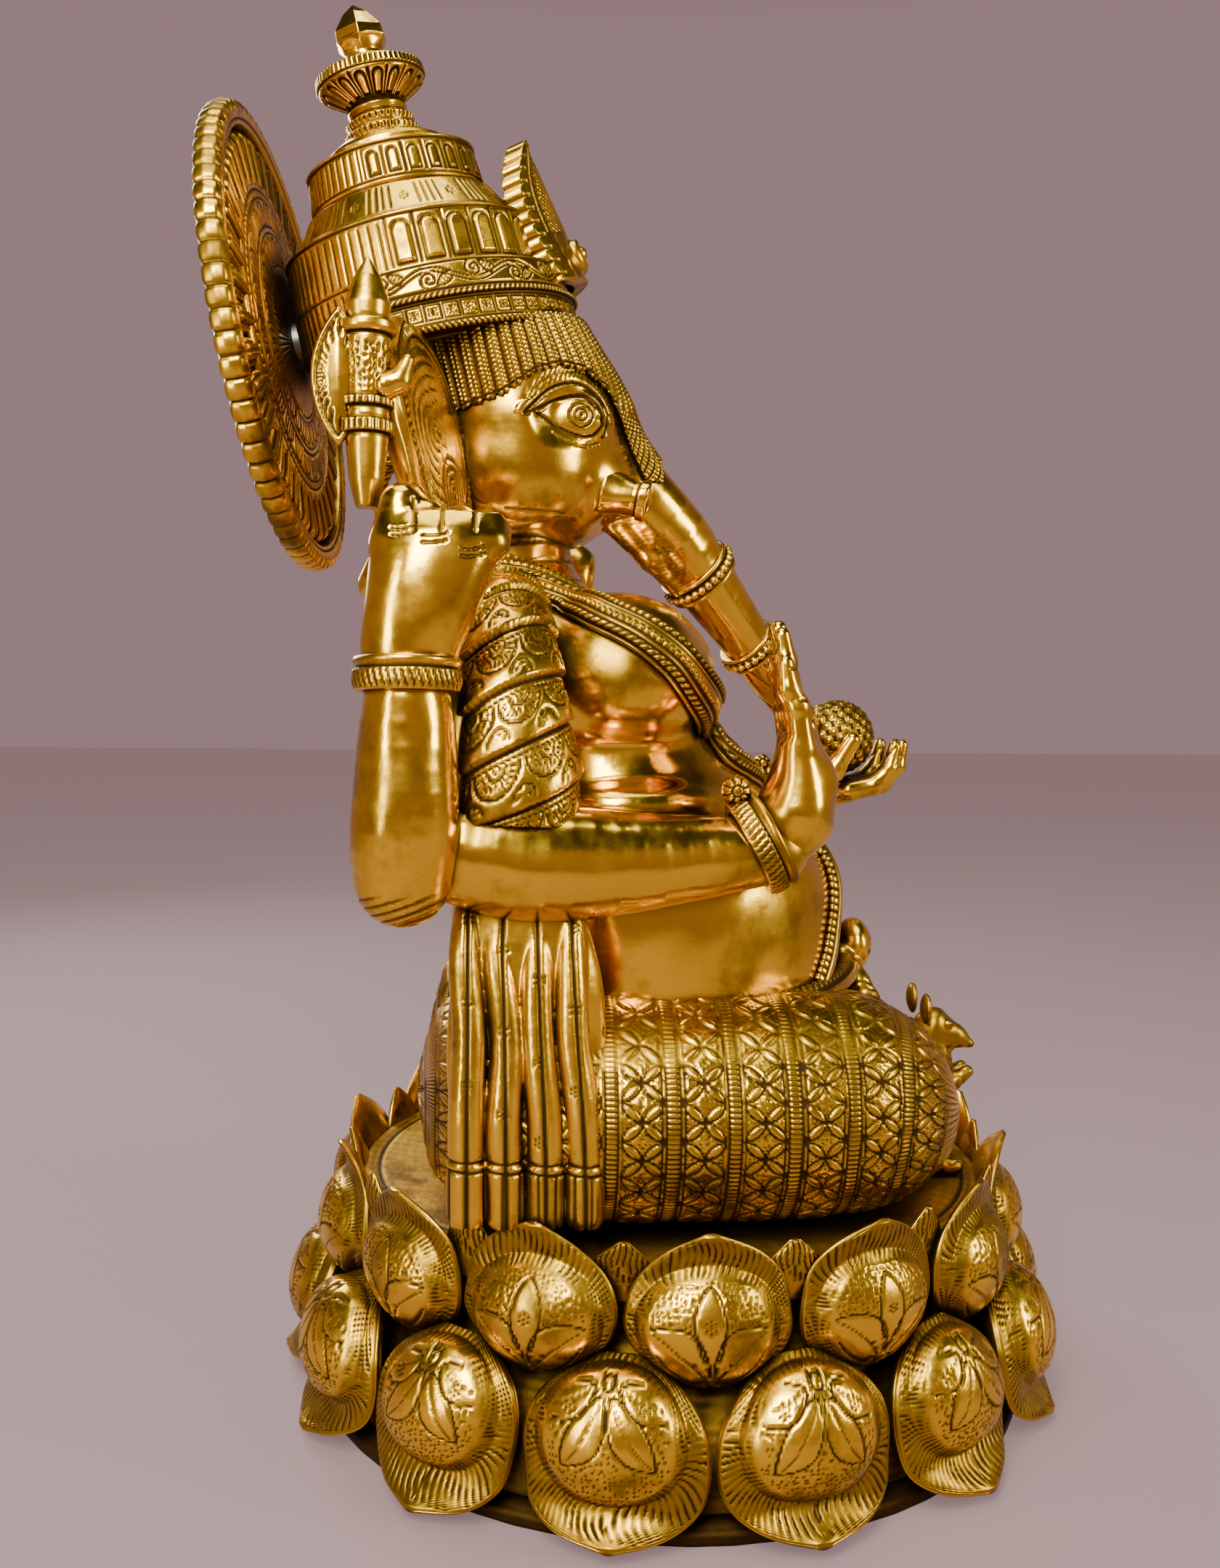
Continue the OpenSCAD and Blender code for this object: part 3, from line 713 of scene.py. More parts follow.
def torso_field(p):
    q = p.copy()
    q[:, 0] = np.abs(q[:, 0])
    d = stack(q, TORSO_ROWS)
    roll = ball(q, (44, 27, 265), (46, 47, 16))
    breast = ball(q, (35, 30, 317), (54, 43, 37))
    d = blend(blend(d, breast, 6), roll, 3)
    return carve(d, ball(q, (0, -76, 214), (5, 6, 4)), 4)


def off_torso(points):
    """Directions that point away from the torso."""
    steps = np.eye(3) * 0.5
    return unit(np.stack([torso_field(points + e) - torso_field(points - e) for e in steps], 1))


def landed(point, axis, lift):
    """Where a line along an axis, from the near side, comes within lift of the torso."""
    path = np.tile(np.array(point, float), (600, 1))
    path[:, axis] = np.linspace(-130, 20, 600)
    gap = torso_field(path)
    return path[np.argmax(gap < lift) if (gap < lift).any() else np.argmin(gap)]


def draped(stations, lift):
    """Stations laid on the torso, raised by lift."""
    rows = curve(stations, 5)
    for _ in range(3):
        rows[:, :3] -= (torso_field(rows[:, :3]) - lift)[:, None] * off_torso(rows[:, :3])
    return rows


def torso_relief(p, n):
    neck = within(p[:, 2], 356, 382) * cuts(p[:, 2] + 0.1 * p[:, 1], 9, 1.0)
    edge = line(p[:, 2] - 121 - 0.05 * p[:, 1], 1.0)
    return 0.35 * wobble(p, 14), np.maximum(0.7 * neck, edge * 0.6)


def torso():
    return sculpt(torso_field, (-98, -80, 95), (98, 106, 386), 1.2, torso_relief)


LEG = [
    (-50, 113, 140, 8, 8), (-56, 106, 141, 36, 34), (-64, 86, 142, 57, 45), (-72, 50, 142.5, 60, 48),
    (-76, 5, 142, 57, 47.5), (-76, -45, 141, 54, 46), (-73, -74, 141, 50, 44), (-70, -94, 139, 39, 36),
    (-68, -108, 137, 24, 23), (-66, -115, 136, 7, 7),
]
BAND = 23.6
BAND_START = -11.0
LATTICE = 16.4


def dhoti_weave(u, v):
    """Bands of four-petal flowers on punched ground, parted by ladder strips."""
    across = cell(u - BAND_START + BAND / 2, BAND)
    strip = np.abs(across) < 2.6
    rails = np.maximum(line(np.abs(across) - 2.6, 0.75), line(np.abs(across) - 4.4, 0.5))
    rungs = cuts(v, 2.3, 0.6) * (np.abs(across) < 2.2)
    p = cell(u - BAND_START, BAND)
    q = cell(v, LATTICE)
    fold_p, fold_q = np.abs(p) - LATTICE / 4, np.abs(q) - LATTICE / 4
    s = math.sqrt(0.5)
    petal_d = leaf((fold_p + fold_q) * s, (fold_q - fold_p) * s, LATTICE * 0.345, LATTICE * 0.125)
    vein = line((fold_q - fold_p) * s, 0.4) * (petal_d < -0.8) * 0.45
    ground = stipple(u, v, 1.75, 0.58) * (petal_d > 0.9) * (np.abs(p) < 9)
    flower = most([line(petal_d, 0.7), vein, 0.85 * ground, line(np.hypot(p, q) - 0.9, 0.5)])
    puff = 0.5 * (petal_d < 0) * np.clip(-petal_d, 0, 1)
    return puff * ~strip, np.maximum(np.maximum(rails, rungs), flower * ~strip)


def leg_relief(along, angle, grid):
    y = grid[..., 1]
    arc_at = (angle - math.pi) * 53
    lift, ink = dhoti_weave(y - 0.12 * (arc_at + 10) * ramp(-40, -110, y), arc_at)
    cuffed = ramp(30, 36, -arc_at + 0.09 * y) * (np.cos(angle) < 0.4)
    knee = ramp(-100, -106, y)
    lines = cuts(angle * 40, 4.0, 0.7)
    ink = ink * (1 - 0.5 * cuffed) * (1 - knee) + lines * knee * 0.8
    return lift + 0.5 * wobble(grid, 16, 2), ink


def leg():
    return tube(LEG, leg_relief, (1, 0, 0), (0, -1, 0), 0.8)


def toes(p, heel, ball_of_foot, turn):
    """Foot with five toes, sole turned up."""
    d = chain(p, [(*heel, 12), (*ball_of_foot, 10.5)], 6)
    for i in range(5):
        root = np.array(ball_of_foot) + [0, -3, (i - 2) * 5.2]
        tip = root + [turn * (19 - abs(i - 1) * 2.4), 1.5, (i - 2) * 0.5]
        d = blend(d, rod(p, (*root, 4.6 - 0.3 * i), (*tip, 3.9 - 0.35 * i)), 2.0)
    return d


def foot_relief(p, n):
    return 0.2 * wobble(p, 9), 0.0


def right_foot():
    def field(p):
        shin = [(-66, -82, 116, 10), (-52, -92, 113, 15.5), (-22, -98, 110, 13.5), (-4, -99, 109, 12)]
        return blend(chain(p, shin, 5), toes(p, (4, -99, 108), (18, -97, 107), 1), 5)
    return sculpt(field, (-80, -116, 92), (52, -68, 136), 0.9, foot_relief)


def left_foot():
    def field(p):
        shin = [(66, -84, 126, 10), (50, -94, 128, 14.5), (20, -98, 132, 12.5), (4, -98, 133, 12)]
        return blend(chain(p, shin, 5), toes(p, (-8, -98, 134), (-24, -96, 135), -1), 5)
    return sculpt(field, (-58, -114, 108), (80, -68, 152), 0.9, foot_relief)


def roped(radius, pitch=3.2):
    def relief(along, angle, r, z):
        return 0.0, cuts(angle * radius + along * 0.8, pitch, 0.7)
    return relief


def put(centre, turn_x=0.0, turn_y=0.0, turn_z=0.0):
    """Turns points about x, then y, then z, and moves them to the centre."""
    about_y_and_x = Matrix.Rotation(turn_y, 3, "Y") @ Matrix.Rotation(turn_x, 3, "X")
    spin = np.array(Matrix.Rotation(turn_z, 3, "Z") @ about_y_and_x)
    return lambda points: points @ spin.T + np.array(centre)


def anklet(centre):
    return torus(15.5, 3.0, roped(15.5), 0.6, put(centre, 0, math.pi / 2, 0))


def pleats():
    def field(p):
        d = None
        for i in range(-3, 4):
            path = [(i * 3.5, -79, 190, 5), (i * 7, -88, 172, 5.2), (i * 9, -97, 152, 5.0)]
            fold = chain(p, curve(path, 3), 3)
            d = fold if d is None else blend(d, fold, 1.2)
        brooch = ball(p, (0, -86, 194), (15, 8, 12))
        return blend(d, brooch, 2)

    def relief(p, n):
        hatch = cuts(p[:, 0] * 0.6 + p[:, 2] * 0.8, 3.0, 0.6) * (p[:, 2] < 182)
        ring = np.hypot(p[:, 0], (p[:, 2] - 192) * 1.3)
        petals = cuts(np.arctan2(p[:, 0], p[:, 2] - 192) * 8, 5.0, 0.8) * within(ring, 4.5, 12)
        return 0.0, np.maximum(hatch * 0.8, np.maximum(petals, line(ring - 4, 0.8)) * (p[:, 2] > 180))
    return sculpt(field, (-38, -108, 140), (38, -66, 204), 0.8, relief)


BELT = [(-82, -16, 180, 3, 4), (-70, -46, 182, 4, 6), (-42, -70, 185, 4, 6), (0, -80, 186, 4.5, 7),
        (42, -70, 185, 4, 6), (70, -46, 182, 4, 6), (82, -16, 180, 3, 4)]


def belt_relief(along, angle, grid):
    v = np.sin(angle) * 6
    return merge(rope(along, v, 4.0, 3.2), (0.0, line(np.abs(v) - 4, 0.7)))


FOLDS = 4


def sash():
    """Deep rounded folds from the elbow down to a stitched hem."""
    def field(p):
        d = np.full(len(p), 1e3)
        for i in range(FOLDS):
            y, sway = 90.5 - i * 13.0, 1.6 * math.sin(i * 1.7 + 0.4)
            path = [(-109, y, 236, 4.4), (-118 + sway * 0.4, y + 1 + sway, 212, 5.9),
                    (-124 + sway * 0.5, y - i * 0.6 - sway, 180, 6.7),
                    (-127.5, y - i * 1.3 + sway * 0.6, 150, 7.0), (-127, y - i * 1.9, 114, 7.5)]
            d = blend(d, chain(p, path, 0, 4), 0.8)
        backing = ball(p, (-113, 68, 172), (11, 31, 76))
        return np.maximum(blend(d, backing, 1.0), 107 + 0.03 * p[:, 1] - p[:, 2])

    def relief(p, n):
        hem = p[:, 2] - 131 - 0.05 * p[:, 1]
        lines = np.maximum(line(hem, 0.8), line(hem + 3.6, 0.8))
        strands_low = cuts(p[:, 1], 6.7, 0.8) * (hem < -4)
        fold = np.floor((97 - p[:, 1]) / 13.4)
        row = cell(p[:, 2] + 11 * fold, 30)
        stamps = rosette(cell(97 - p[:, 1], 13.4), row, 1.8, 0.75) * (hem > 4)
        pitch = 13.0 + 1.9 * ramp(236, 114, p[:, 2])
        # Painted shade: the ground between neighbouring folds is inked dark, which also sinks it a little.
        groove = ramp(0.39, 0.48, np.abs(cell((90.5 - p[:, 1]) / pitch, 1.0)))
        lift = 0.3 * wobble(p, 15) + 0.35 * (hem < -1.8)
        return lift, most([lines, strands_low * 0.8, stamps * 0.9, groove])
    return sculpt(field, (-142, 24, 104), (-98, 108, 246), 0.8, relief)


SLEEVE = [(-46, 72, 349, 12, 11), (-70, 79, 343, 20, 18), (-93, 78, 325, 22, 23), (-106, 77, 302, 25, 25),
          (-113, 75, 278, 27, 24), (-115, 75, 260, 25, 21)]


def sleeve_relief(along, angle, grid):
    """Cloth wound round the arm, with half-sunburst fans between double borders."""
    arc_at = cell(angle - 0.5 * math.pi, TAU) * 26
    wound = along - 60 / (TAU * 26) * arc_at
    fold_pitch = 20.0
    across = cell(wound, fold_pitch)
    step_up = 1.9 * ramp(-fold_pitch / 2, fold_pitch / 2, across) - 0.8
    border = np.maximum(line(across + 8.8, 1.2), line(across + 6.4, 0.6))
    shift = np.floor(wound / fold_pitch) * 9
    u, v = cell(arc_at + shift, 20.0), across + 5.4
    r, turn = np.hypot(u, v), np.arctan2(u, v)
    rays = cuts(turn * 8, 2.0, 0.55) * within(r, 4.6, 7.8)
    fan = most([rays, line(r - 9.0, 0.75), line(r - 3.6, 0.65), line(r - 1.4, 0.5)]) * (v > 0)
    side_u = np.abs(cell(arc_at + shift + 10, 20.0))
    small, small_turn = np.hypot(side_u, across - 6.8), np.arctan2(side_u, across - 6.8)
    small_rays = cuts(small_turn * 6, 2.2, 0.5) * within(small, 1.6, 3.6)
    small_fan = np.maximum(line(small - 4.2, 0.7), small_rays)
    small_fan = small_fan * (across < 7.4) * (r > 9.6)
    p, q = along - 27 - 0.35 * arc_at, arc_at - 16 + 0.25 * (along - 27)
    oval = leaf(p, q, 17, 7.5)
    spokes = cuts(np.arctan2(q, p * 0.6) * 9, 1.9, 0.55) * within(oval, -4.6, -2.0)
    badge = most([line(oval, 0.8), line(oval + 5.2, 0.6), spokes])
    ink = np.where(oval < 0.9, badge, most([border, fan, small_fan * 0.9]))
    return step_up * (oval > 0.9) + 0.6 * (oval < 0.5), ink


def sleeve():
    return tube(SLEEVE, sleeve_relief, (0, 1, 0), step=0.85)


NECKLACE = [(-36, 92, 366, 3, 5), (-42, 68, 362, 3, 6), (-36, 44, 352, 3, 7), (0, 24, 344, 3, 8),
            (36, 44, 352, 3, 7), (42, 68, 362, 3, 6), (36, 92, 366, 3, 5)]
NEAR_PATH = [(66, 354), (50, 348), (37, 342), (23, 335), (9, 325), (-3, 312), (-11, 298), (-19, 286)]
NEAR_SIDE = [landed((0, y, z), 0, 1.5) for y, z in NEAR_PATH]
FRONT = landed((0, 0, 275), 1, 1.5)
GARLAND = [(*spot, 4.0, 8.5 + 0.4 * k) for k, spot in enumerate(NEAR_SIDE)]
GARLAND = GARLAND + [(*FRONT, 5, 11)] + [(-x, *rest) for x, *rest in GARLAND[::-1]]


def strands(along, angle, grid):
    """Parallel strands: rope, plain, beads, plain and a leafy edge."""
    v = np.sin(angle) * 10
    front = np.cos(angle) > -0.2
    edge = rope(along, v + 7.8, 3.2, 1.7)
    middle = bead_row(along, v - 0.8, 2.8, 1.3)
    second = rope(along, v - 7.4, 3.0, 1.8)
    plain = most([line(v + 5.4, 0.6), line(v + 3.4, 0.5), line(v - 3.2, 0.55), line(v - 5, 0.5)])
    lift, ink = merge(edge, middle, second, (0.0, plain))
    return lift * front, ink * front


THREAD = [(6, -40, 284, 3.4, 6), (-16, -57, 258, 3.2, 6), (-36, -69, 228, 3.2, 6), (-50, -69, 203, 3.2, 6),
          (-60, -60, 186, 3.2, 6)]


def cord_lines(along, angle, grid):
    v = np.sin(angle) * 6
    ink = most([line(v + 2.6, 0.7), line(v - 2.6, 0.7), cuts(along, 3.4, 0.6) * (v > 2.6)])
    return 0.0, ink


make("torso", torso(), POLISHED)
make_pair("leg", leg(), CHASED)
make("right_foot", right_foot(), POLISHED)
make("left_foot", left_foot(), POLISHED)
make("right_anklet", anklet((-14, -98, 109)), CHASED)
make("left_anklet", anklet((14, -97, 132)), CHASED)
make("dhoti_pleats", pleats(), CHASED)
make("waist_belt", tube(draped(BELT, 2.5), belt_relief, (0, 0.02, 1), step=0.8), CHASED)
make_pair("sash", sash(), CHASED)
make_pair("sleeve", sleeve(), CHASED)
make("necklace", tube(NECKLACE, strands, off_torso, step=0.6), CHASED)
make("garland", tube(draped(GARLAND, 1.5), strands, off_torso, step=0.6), CHASED)
make("sacred_thread", tube(draped(THREAD, 1.2), cord_lines, off_torso, step=0.6), CHASED)

# ------------------------------------------------------------ arms

def polished_relief(p, n):
    return 0.3 * wobble(p, 13), 0.0


def limb_of(stations, low, high, voxel=1.0, relief=polished_relief):
    return sculpt(lambda p: chain(p, stations, 5.0, 4), low, high, voxel, relief)


RIGHT_FOREARM = [(-116, 92, 251, 21.5), (-114, 64, 246, 22.8), (-109, 30, 245.5, 19.8),
                 (-102, -4, 247, 16), (-97, -30, 249, 13.5)]
LEFT_FOREARM = [(116, 92, 252, 19.5), (112, 60, 247, 21.5), (104, 20, 249, 19), (94, -20, 253, 16),
                (84, -56, 257, 12.5)]
UPPER_ARM = [(-74, 92, 336, 15), (-86, 94, 326, 21), (-106, 102, 300, 21), (-120, 109, 272, 19.5),
             (-131, 114, 247, 17)]
REAR_FOREARM = [(-137, 114, 243, 18), (-140, 113, 262, 19.5), (-141, 112, 290, 18), (-141, 112, 320, 14)]


def elbow_relief(p, n):
    slanted = p[:, 2] + 0.35 * p[:, 1] - 38
    crease = cuts(slanted, 3.6, 0.8) * within(p[:, 2], 226, 238, 1.5) * (p[:, 1] > 96)
    return 0.3 * wobble(p, 13, 1), 0.7 * crease


def open_hand():
    """Raised hand, palm to the front: deep heel, long slender fingers, thumb across."""
    def field(p):
        p = p - [0, 6, 0]
        heel = [(-95, -36, 251, 12.5), (-94, -44, 262, 14.5), (-92, -48, 276, 12), (-91, -46, 292, 8.5)]
        d = chain(p, heel, 8)
        d = blend(d, chain(p, [(-83, -48, 268, 9.5), (-82, -46, 290, 7)], 5), 6)
        d = blend(d, chain(p, [(-101, -46, 268, 8.5), (-101, -44, 290, 6.6)], 5), 6)
        for i in range(4):
            x, tall = -79.5 - i * 7.6, (330, 337, 334, 323)[i]
            line_of = [(x, -45.5, 290, 5.4), (x - 0.5, -43, 306, 5.0), (x - 0.6, -39.5, tall - 10, 4.5),
                       (x - 0.6, -38, tall, 3.4)]
            d = blend(d, chain(p, line_of, 2), 1.8)
        return blend(d, chain(p, [(-82, -52, 266, 8), (-72, -55, 282, 5.8), (-71, -53, 297, 4.8)], 3), 4)

    def relief(p, n):
        joints = np.maximum(line(p[:, 2] - 309, 0.7), line(p[:, 2] - 321, 0.7)) * (n[:, 1] < -0.2)
        across, up = cell(p[:, 0] + 83.8, 7.6) / 2.4, (p[:, 2] - 330) / 3.4
        nails = line(np.hypot(across, up) - 1, 0.3) * (n[:, 1] > 0.5)
        palm = rosette(p[:, 0] + 92, p[:, 2] - 276, 2.4, 0.7) * (n[:, 1] < -0.5)
        return 0.2 * wobble(p, 9), most([joints * 0.8, nails * (p[:, 2] > 318) * 0.7, palm])
    return sculpt(field, (-114, -64, 236), (-60, -16, 344), 0.7, relief)


def cupped_hand():
    """Palm up under the ball, fingers curling round its front."""
    def field(p):
        d = chain(p, [(83, -60, 258, 11.5), (80, -76, 258, 10.5), (77, -94, 260, 8)], 6)
        d = blend(d, chain(p, [(70, -78, 260, 8), (67, -96, 261, 7)], 4), 5)
        d = blend(d, chain(p, [(90, -78, 260, 7.5), (89, -96, 261, 6.5)], 4), 5)
        for i in range(4):
            x, far = 62.5 + i * 8.6, (-118, -124, -123, -117)[i]
            line_of = [(x, -97, 261, 5.4), (x, far + 8, 264, 4.9), (x, far, 273, 4.3),
                       (x, far - 2.5, 284, 3.2)]
            d = blend(d, chain(p, line_of, 2), 1.6)
        return blend(d, chain(p, [(66, -74, 263, 7), (53, -87, 272, 5.4), (52, -96, 287, 4.2)], 3), 4)

    def relief(p, n):
        joints = cuts(p[:, 1] + p[:, 2] + 3, 9, 0.6) * (p[:, 1] < -108) * (n[:, 2] > 0.1)
        return 0.2 * wobble(p, 8), 0.7 * joints
    return sculpt(field, (42, -134, 242), (106, -46, 294), 0.8, relief)


PALM_ROWS = curve([(-141, 112, 308, 12.5, 14), (-141, 111, 324, 13.5, 17.5), (-141.5, 107, 340, 14.5, 20.5),
                   (-141, 103.5, 355, 14, 22.5), (-140, 101, 367, 12, 23), (-138, 100, 375, 8, 21)])


def gripping_hand():
    """Closed rear hand: smooth broad back, fingers folded inwards over the top."""
    def field(p):
        d = stack(p, PALM_ROWS)
        for y, top in ((82, 368), (93.5, 370.5), (105, 372.5)):
            path = [(-141, y, top - 4, 6.6), (-136, y, top + 0.5, 6.4), (-127, y + 1, top, 5.8),
                    (-122, y + 2, top - 8, 5)]
            d = blend(d, chain(p, path, 2), 2.6)
        d = blend(d, chain(p, [(-139, 117, 364, 8), (-136, 114.5, 378, 7), (-130, 111, 381, 5.6)], 3), 4)
        return blend(d, chain(p, [(-126, 124, 350, 7), (-124, 118, 366, 6), (-122, 108, 374, 5)], 3), 3)

    def relief(p, n):
        y, z = p[:, 1], p[:, 2]
        ink = np.zeros(len(p))
        for middle, high in ((113, 368.5), (101.5, 365.5), (88.5, 361.5)):
            sag = 0.035 * (y - middle) ** 2 - 0.12 * (y - middle)
            pair = np.maximum(line(z - high - sag, 0.6), line(z - high + 2.6 - sag, 0.6))
            ink = np.maximum(ink, pair * (np.abs(y - middle) < 4.6))
        part = within(z, 367, 380) * most([line(y - m, 0.9) for m in (87.6, 99.2, 109.4)])
        return 0.35 * wobble(p, 13), np.maximum(ink * (n[:, 0] < -0.3), 0.7 * part)
    return sculpt(field, (-162, 70, 300), (-112, 142, 392), 0.7, relief)


def bangle(centre, turn_x, turn_y, radius):
    """Flat band with a twisted edge and a plain thin ring."""
    profile = [(radius - 2, -6), (radius + 1.6, -6), (radius + 2.6, -3), (radius + 2.2, 2),
               (radius + 1.2, 2.6), (radius + 2.4, 4.4), (radius + 1.6, 6.2), (radius - 2, 6.2)]

    def relief(along, angle, r, z):
        twist = cuts(angle * radius + z * 0.3, 2.5, 0.6) * within(z, -5.2, 1.4) * (r > radius)
        return 0.0, np.maximum(twist, line(z - 2.3, 0.6))
    return lathe(profile, relief, 0.8, put(centre, turn_x, turn_y))


def clasp(centre, radius):
    """Flower boss on a bangle."""
    def field(p):
        return blend(ball(p, centre, radius), ball(p, np.array(centre) + [-1.5, 0, 0], radius * 0.75), 1)

    def relief(p, n):
        q = p - np.array(centre)
        r = np.hypot(q[:, 1], q[:, 2])
        leaves = line(cell(np.arctan2(q[:, 1], q[:, 2]), TAU / 8) * r, 0.6) * (r > 2.6)
        return 0.0, np.maximum(line(r - 2.4, 0.6), leaves) * (np.abs(n[:, 0]) > 0.2)
    reach = radius + 3
    return sculpt(field, np.array(centre) - reach, np.array(centre) + reach, 0.5, relief)


WRISTS = [((-96, -25, 252), math.radians(62), 0, 18.5), ((83, -56, 257), math.radians(84), 0, 13.6),
          ((-141, 112, 317), 0, math.radians(4), 17.2), ((141, 112, 317), 0, math.radians(-4), 17.2)]

make("right_front_forearm", limb_of(RIGHT_FOREARM, (-142, -50, 218), (-80, 120, 276)), POLISHED)
make("left_front_forearm", limb_of(LEFT_FOREARM, (66, -76, 218), (142, 120, 280)), POLISHED)
make("right_front_hand", open_hand(), POLISHED)
make("left_front_hand", cupped_hand(), POLISHED)
make_pair("rear_upper_arm", limb_of(UPPER_ARM, (-154, 66, 224), (-52, 138, 356)), POLISHED)
make_pair("rear_forearm", limb_of(REAR_FOREARM, (-164, 86, 220), (-116, 140, 338), 1.0, elbow_relief),
          POLISHED)
make_pair("rear_hand", gripping_hand(), POLISHED)
CLASPS = [clasp((-99, -14, 273), 6), clasp((84, -56, 274), 4.5)]
make("bangles", join(*[bangle(*wrist) for wrist in WRISTS], *CLASPS), CHASED)

# ------------------------------------------------------------ attributes

def sweetmeat():
    """Ball of small fried drops, each a raised ring."""
    low, high = node_box("sweetmeat_ball")
    centre, radius = (low + high) / 2, (high[0] - low[0]) / 2
    count = 170
    i = np.arange(count) + 0.5
    polar, turn = np.arccos(1 - 2 * i / count), math.pi * (1 + 5**0.5) * i
    seeds = np.stack([np.cos(turn) * np.sin(polar), np.sin(turn) * np.sin(polar), np.cos(polar)], 1)
    arc = [(radius * math.cos(a), radius * math.sin(a)) for a in np.linspace(-1.5, 1.5, 25)]
    points, faces, _ = lathe([(0.3, -radius), *arc, (0.3, radius)], None, 0.6, None, False)
    out = unit(points)
    near = np.arccos(np.clip((out @ seeds.T).max(1), -1, 1)) * radius
    lift = 0.9 * bead(near, 2.5)
    ring = line(near - 1.5, 0.55)
    dark = np.maximum(ramp(2.0, 2.7, near), 0.7 * ring)
    return points + out * (lift - 0.4 * ring)[:, None] + centre, faces, dark


def axe_shaft():
    profile = [(0.3, 0), (4, 0), (6.5, 10), (8, 26), (10, 27), (10, 31), (8, 32), (8, 35), (10, 36),
               (10, 39), (8, 40), (9, 62), (11, 64), (11, 67), (8, 68), (8.5, 74), (5, 84), (0.3, 92)]

    def relief(along, angle, r, z):
        rings = rings_at(z, (26, 32, 35.5, 40, 62, 68), 0.8)
        scales = stipple(angle * 9, z, 2.7, 1.05, 3) * within(z, 42, 60)
        ticks = cuts(angle * 10, 2.6, 0.6) * np.maximum(within(z, 27, 31), within(z, 36, 39))
        return 0.0, most([rings, scales * 0.8, ticks])
    return lathe(profile, relief, 0.7, put((-123, 128, 378), 0, math.radians(3)), False)


def blade_oval(p):
    """Place across and along the blade, and signed distance to its outline."""
    q = p - np.array([-124, 138, 425.0])
    return q, leaf(q[:, 2], q[:, 1], 25, 10)


def axe_blade():
    """Pointed oval blade with a raised middle and cut rays, and a short spike in front."""
    def field(p):
        q, oval = blade_oval(p)
        thick = np.abs(q[:, 0]) - (1.4 + 0.22 * np.clip(-oval, 0, 12))
        blade = np.maximum(oval, thick)
        hook = chain(p, [(-124, 121, 422, 5.4), (-124, 116, 424, 4.4), (-124, 113, 431, 2.6)], 2)
        return blend(blade, hook, 2)

    def relief(p, n):
        q, oval = blade_oval(p)
        rays = cuts(np.arctan2(q[:, 2], q[:, 1]) * 12, 2.6, 0.6) * within(oval, -5.5, -2.5)
        return 0.0, np.maximum(line(oval + 2.2, 0.6), rays) * (np.abs(n[:, 0]) > 0.4)
    return sculpt(field, (-134, 98, 396), (-114, 152, 454), 0.7, relief)


def noose():
    ring = torus(24, 4.5, roped(24, 4.5), 0.8, put((124, 122, 414), 0, math.pi / 2))

    def twisted(along, angle, grid):
        return 0.0, cuts(along + angle * 3, 4.5, 0.8)
    tail = [(124, 122, 389, 4.5, 4.5), (124, 122, 374, 4.5, 4.5), (124, 122, 360, 4.5, 4.5)]
    return join(ring, tube(tail, twisted, step=0.8))


make("sweetmeat_ball", sweetmeat(), CHASED)
make("axe_shaft", axe_shaft(), CHASED)
make("axe_blade", axe_blade(), POLISHED)
make("noose", noose(), CHASED)

# ------------------------------------------------------------ head

HEAD_ROWS = curve([
    (0, 66, 374, 12, 12), (0, 68, 380, 34, 30), (0, 70, 398, 51, 43), (0, 72, 420, 56, 48),
    (0, 76, 442, 55.5, 50), (0, 85, 462, 55, 48), (0, 94, 478, 53, 46), (0, 100, 488, 40, 38),
])
TRUNK = [(0, 54, 444, 18), (0, 40, 427, 18.5), (0, 22, 402, 18.5), (5, 2, 382, 17.5), (14, -14, 364, 15),
         (30, -37, 337, 12.2), (44, -52, 318, 10.2), (58, -70, 299, 8.2), (62, -76, 293, 5)]
IRIS = (46.0, 426.8)
UPPER_LID = [(69, 426), (63.7, 429), (56.4, 433), (46, 435.3), (39.5, 431.5), (36.6, 424)]
LOWER_LID = [(66, 426.6), (62, 425.4), (56, 421.8), (48, 418.6), (41.5, 418.6), (36.6, 423)]
CREASE = [(70, 426), (63, 434), (55.3, 438.8), (46, 440.4), (38.4, 436.8), (34.6, 429), (35.2, 420.5)]
UNDER_EYE = [(58, 418.6), (52, 415.6), (45, 414.2), (38, 416.6)]
EYEBROW = [(68, 434), (61, 440.4), (53, 444.4), (44, 445.2), (35.5, 439)]
BROW_Y = (16, 22, 28, 34, 44, 55, 66, 79, 93, 106, 125)
BROW_Z = (404, 416, 430.5, 440, 446.5, 447, 442.6, 433.5, 428.5, 425, 420)


def head_field(p):
    q = p.copy()
    q[:, 0] = np.abs(q[:, 0])
    d = stack(q, HEAD_ROWS)
    d = blend(d, ball(q, (36, 74, 402), (18, 30, 24)), 8)
    d = blend(d, ball(q, (20, 38, 402), (15, 15, 14)), 8)
    d = carve(d, ball(q, (58, 50, 428), (11, 16, 14)), 7)
    d = blend(d, ball(q, (39.5, 48.5, 426.5), (9.5, 15, 11.5)), 2.5)
    trunk = chain(p, TRUNK, 8.0, 3)
    lip = chain(p, [(-6, 26, 386, 7), (-2, 12, 372, 5.5), (5, -2, 358, 4)], 4)
    return blend(blend(d, trunk, 10), lip, 3)


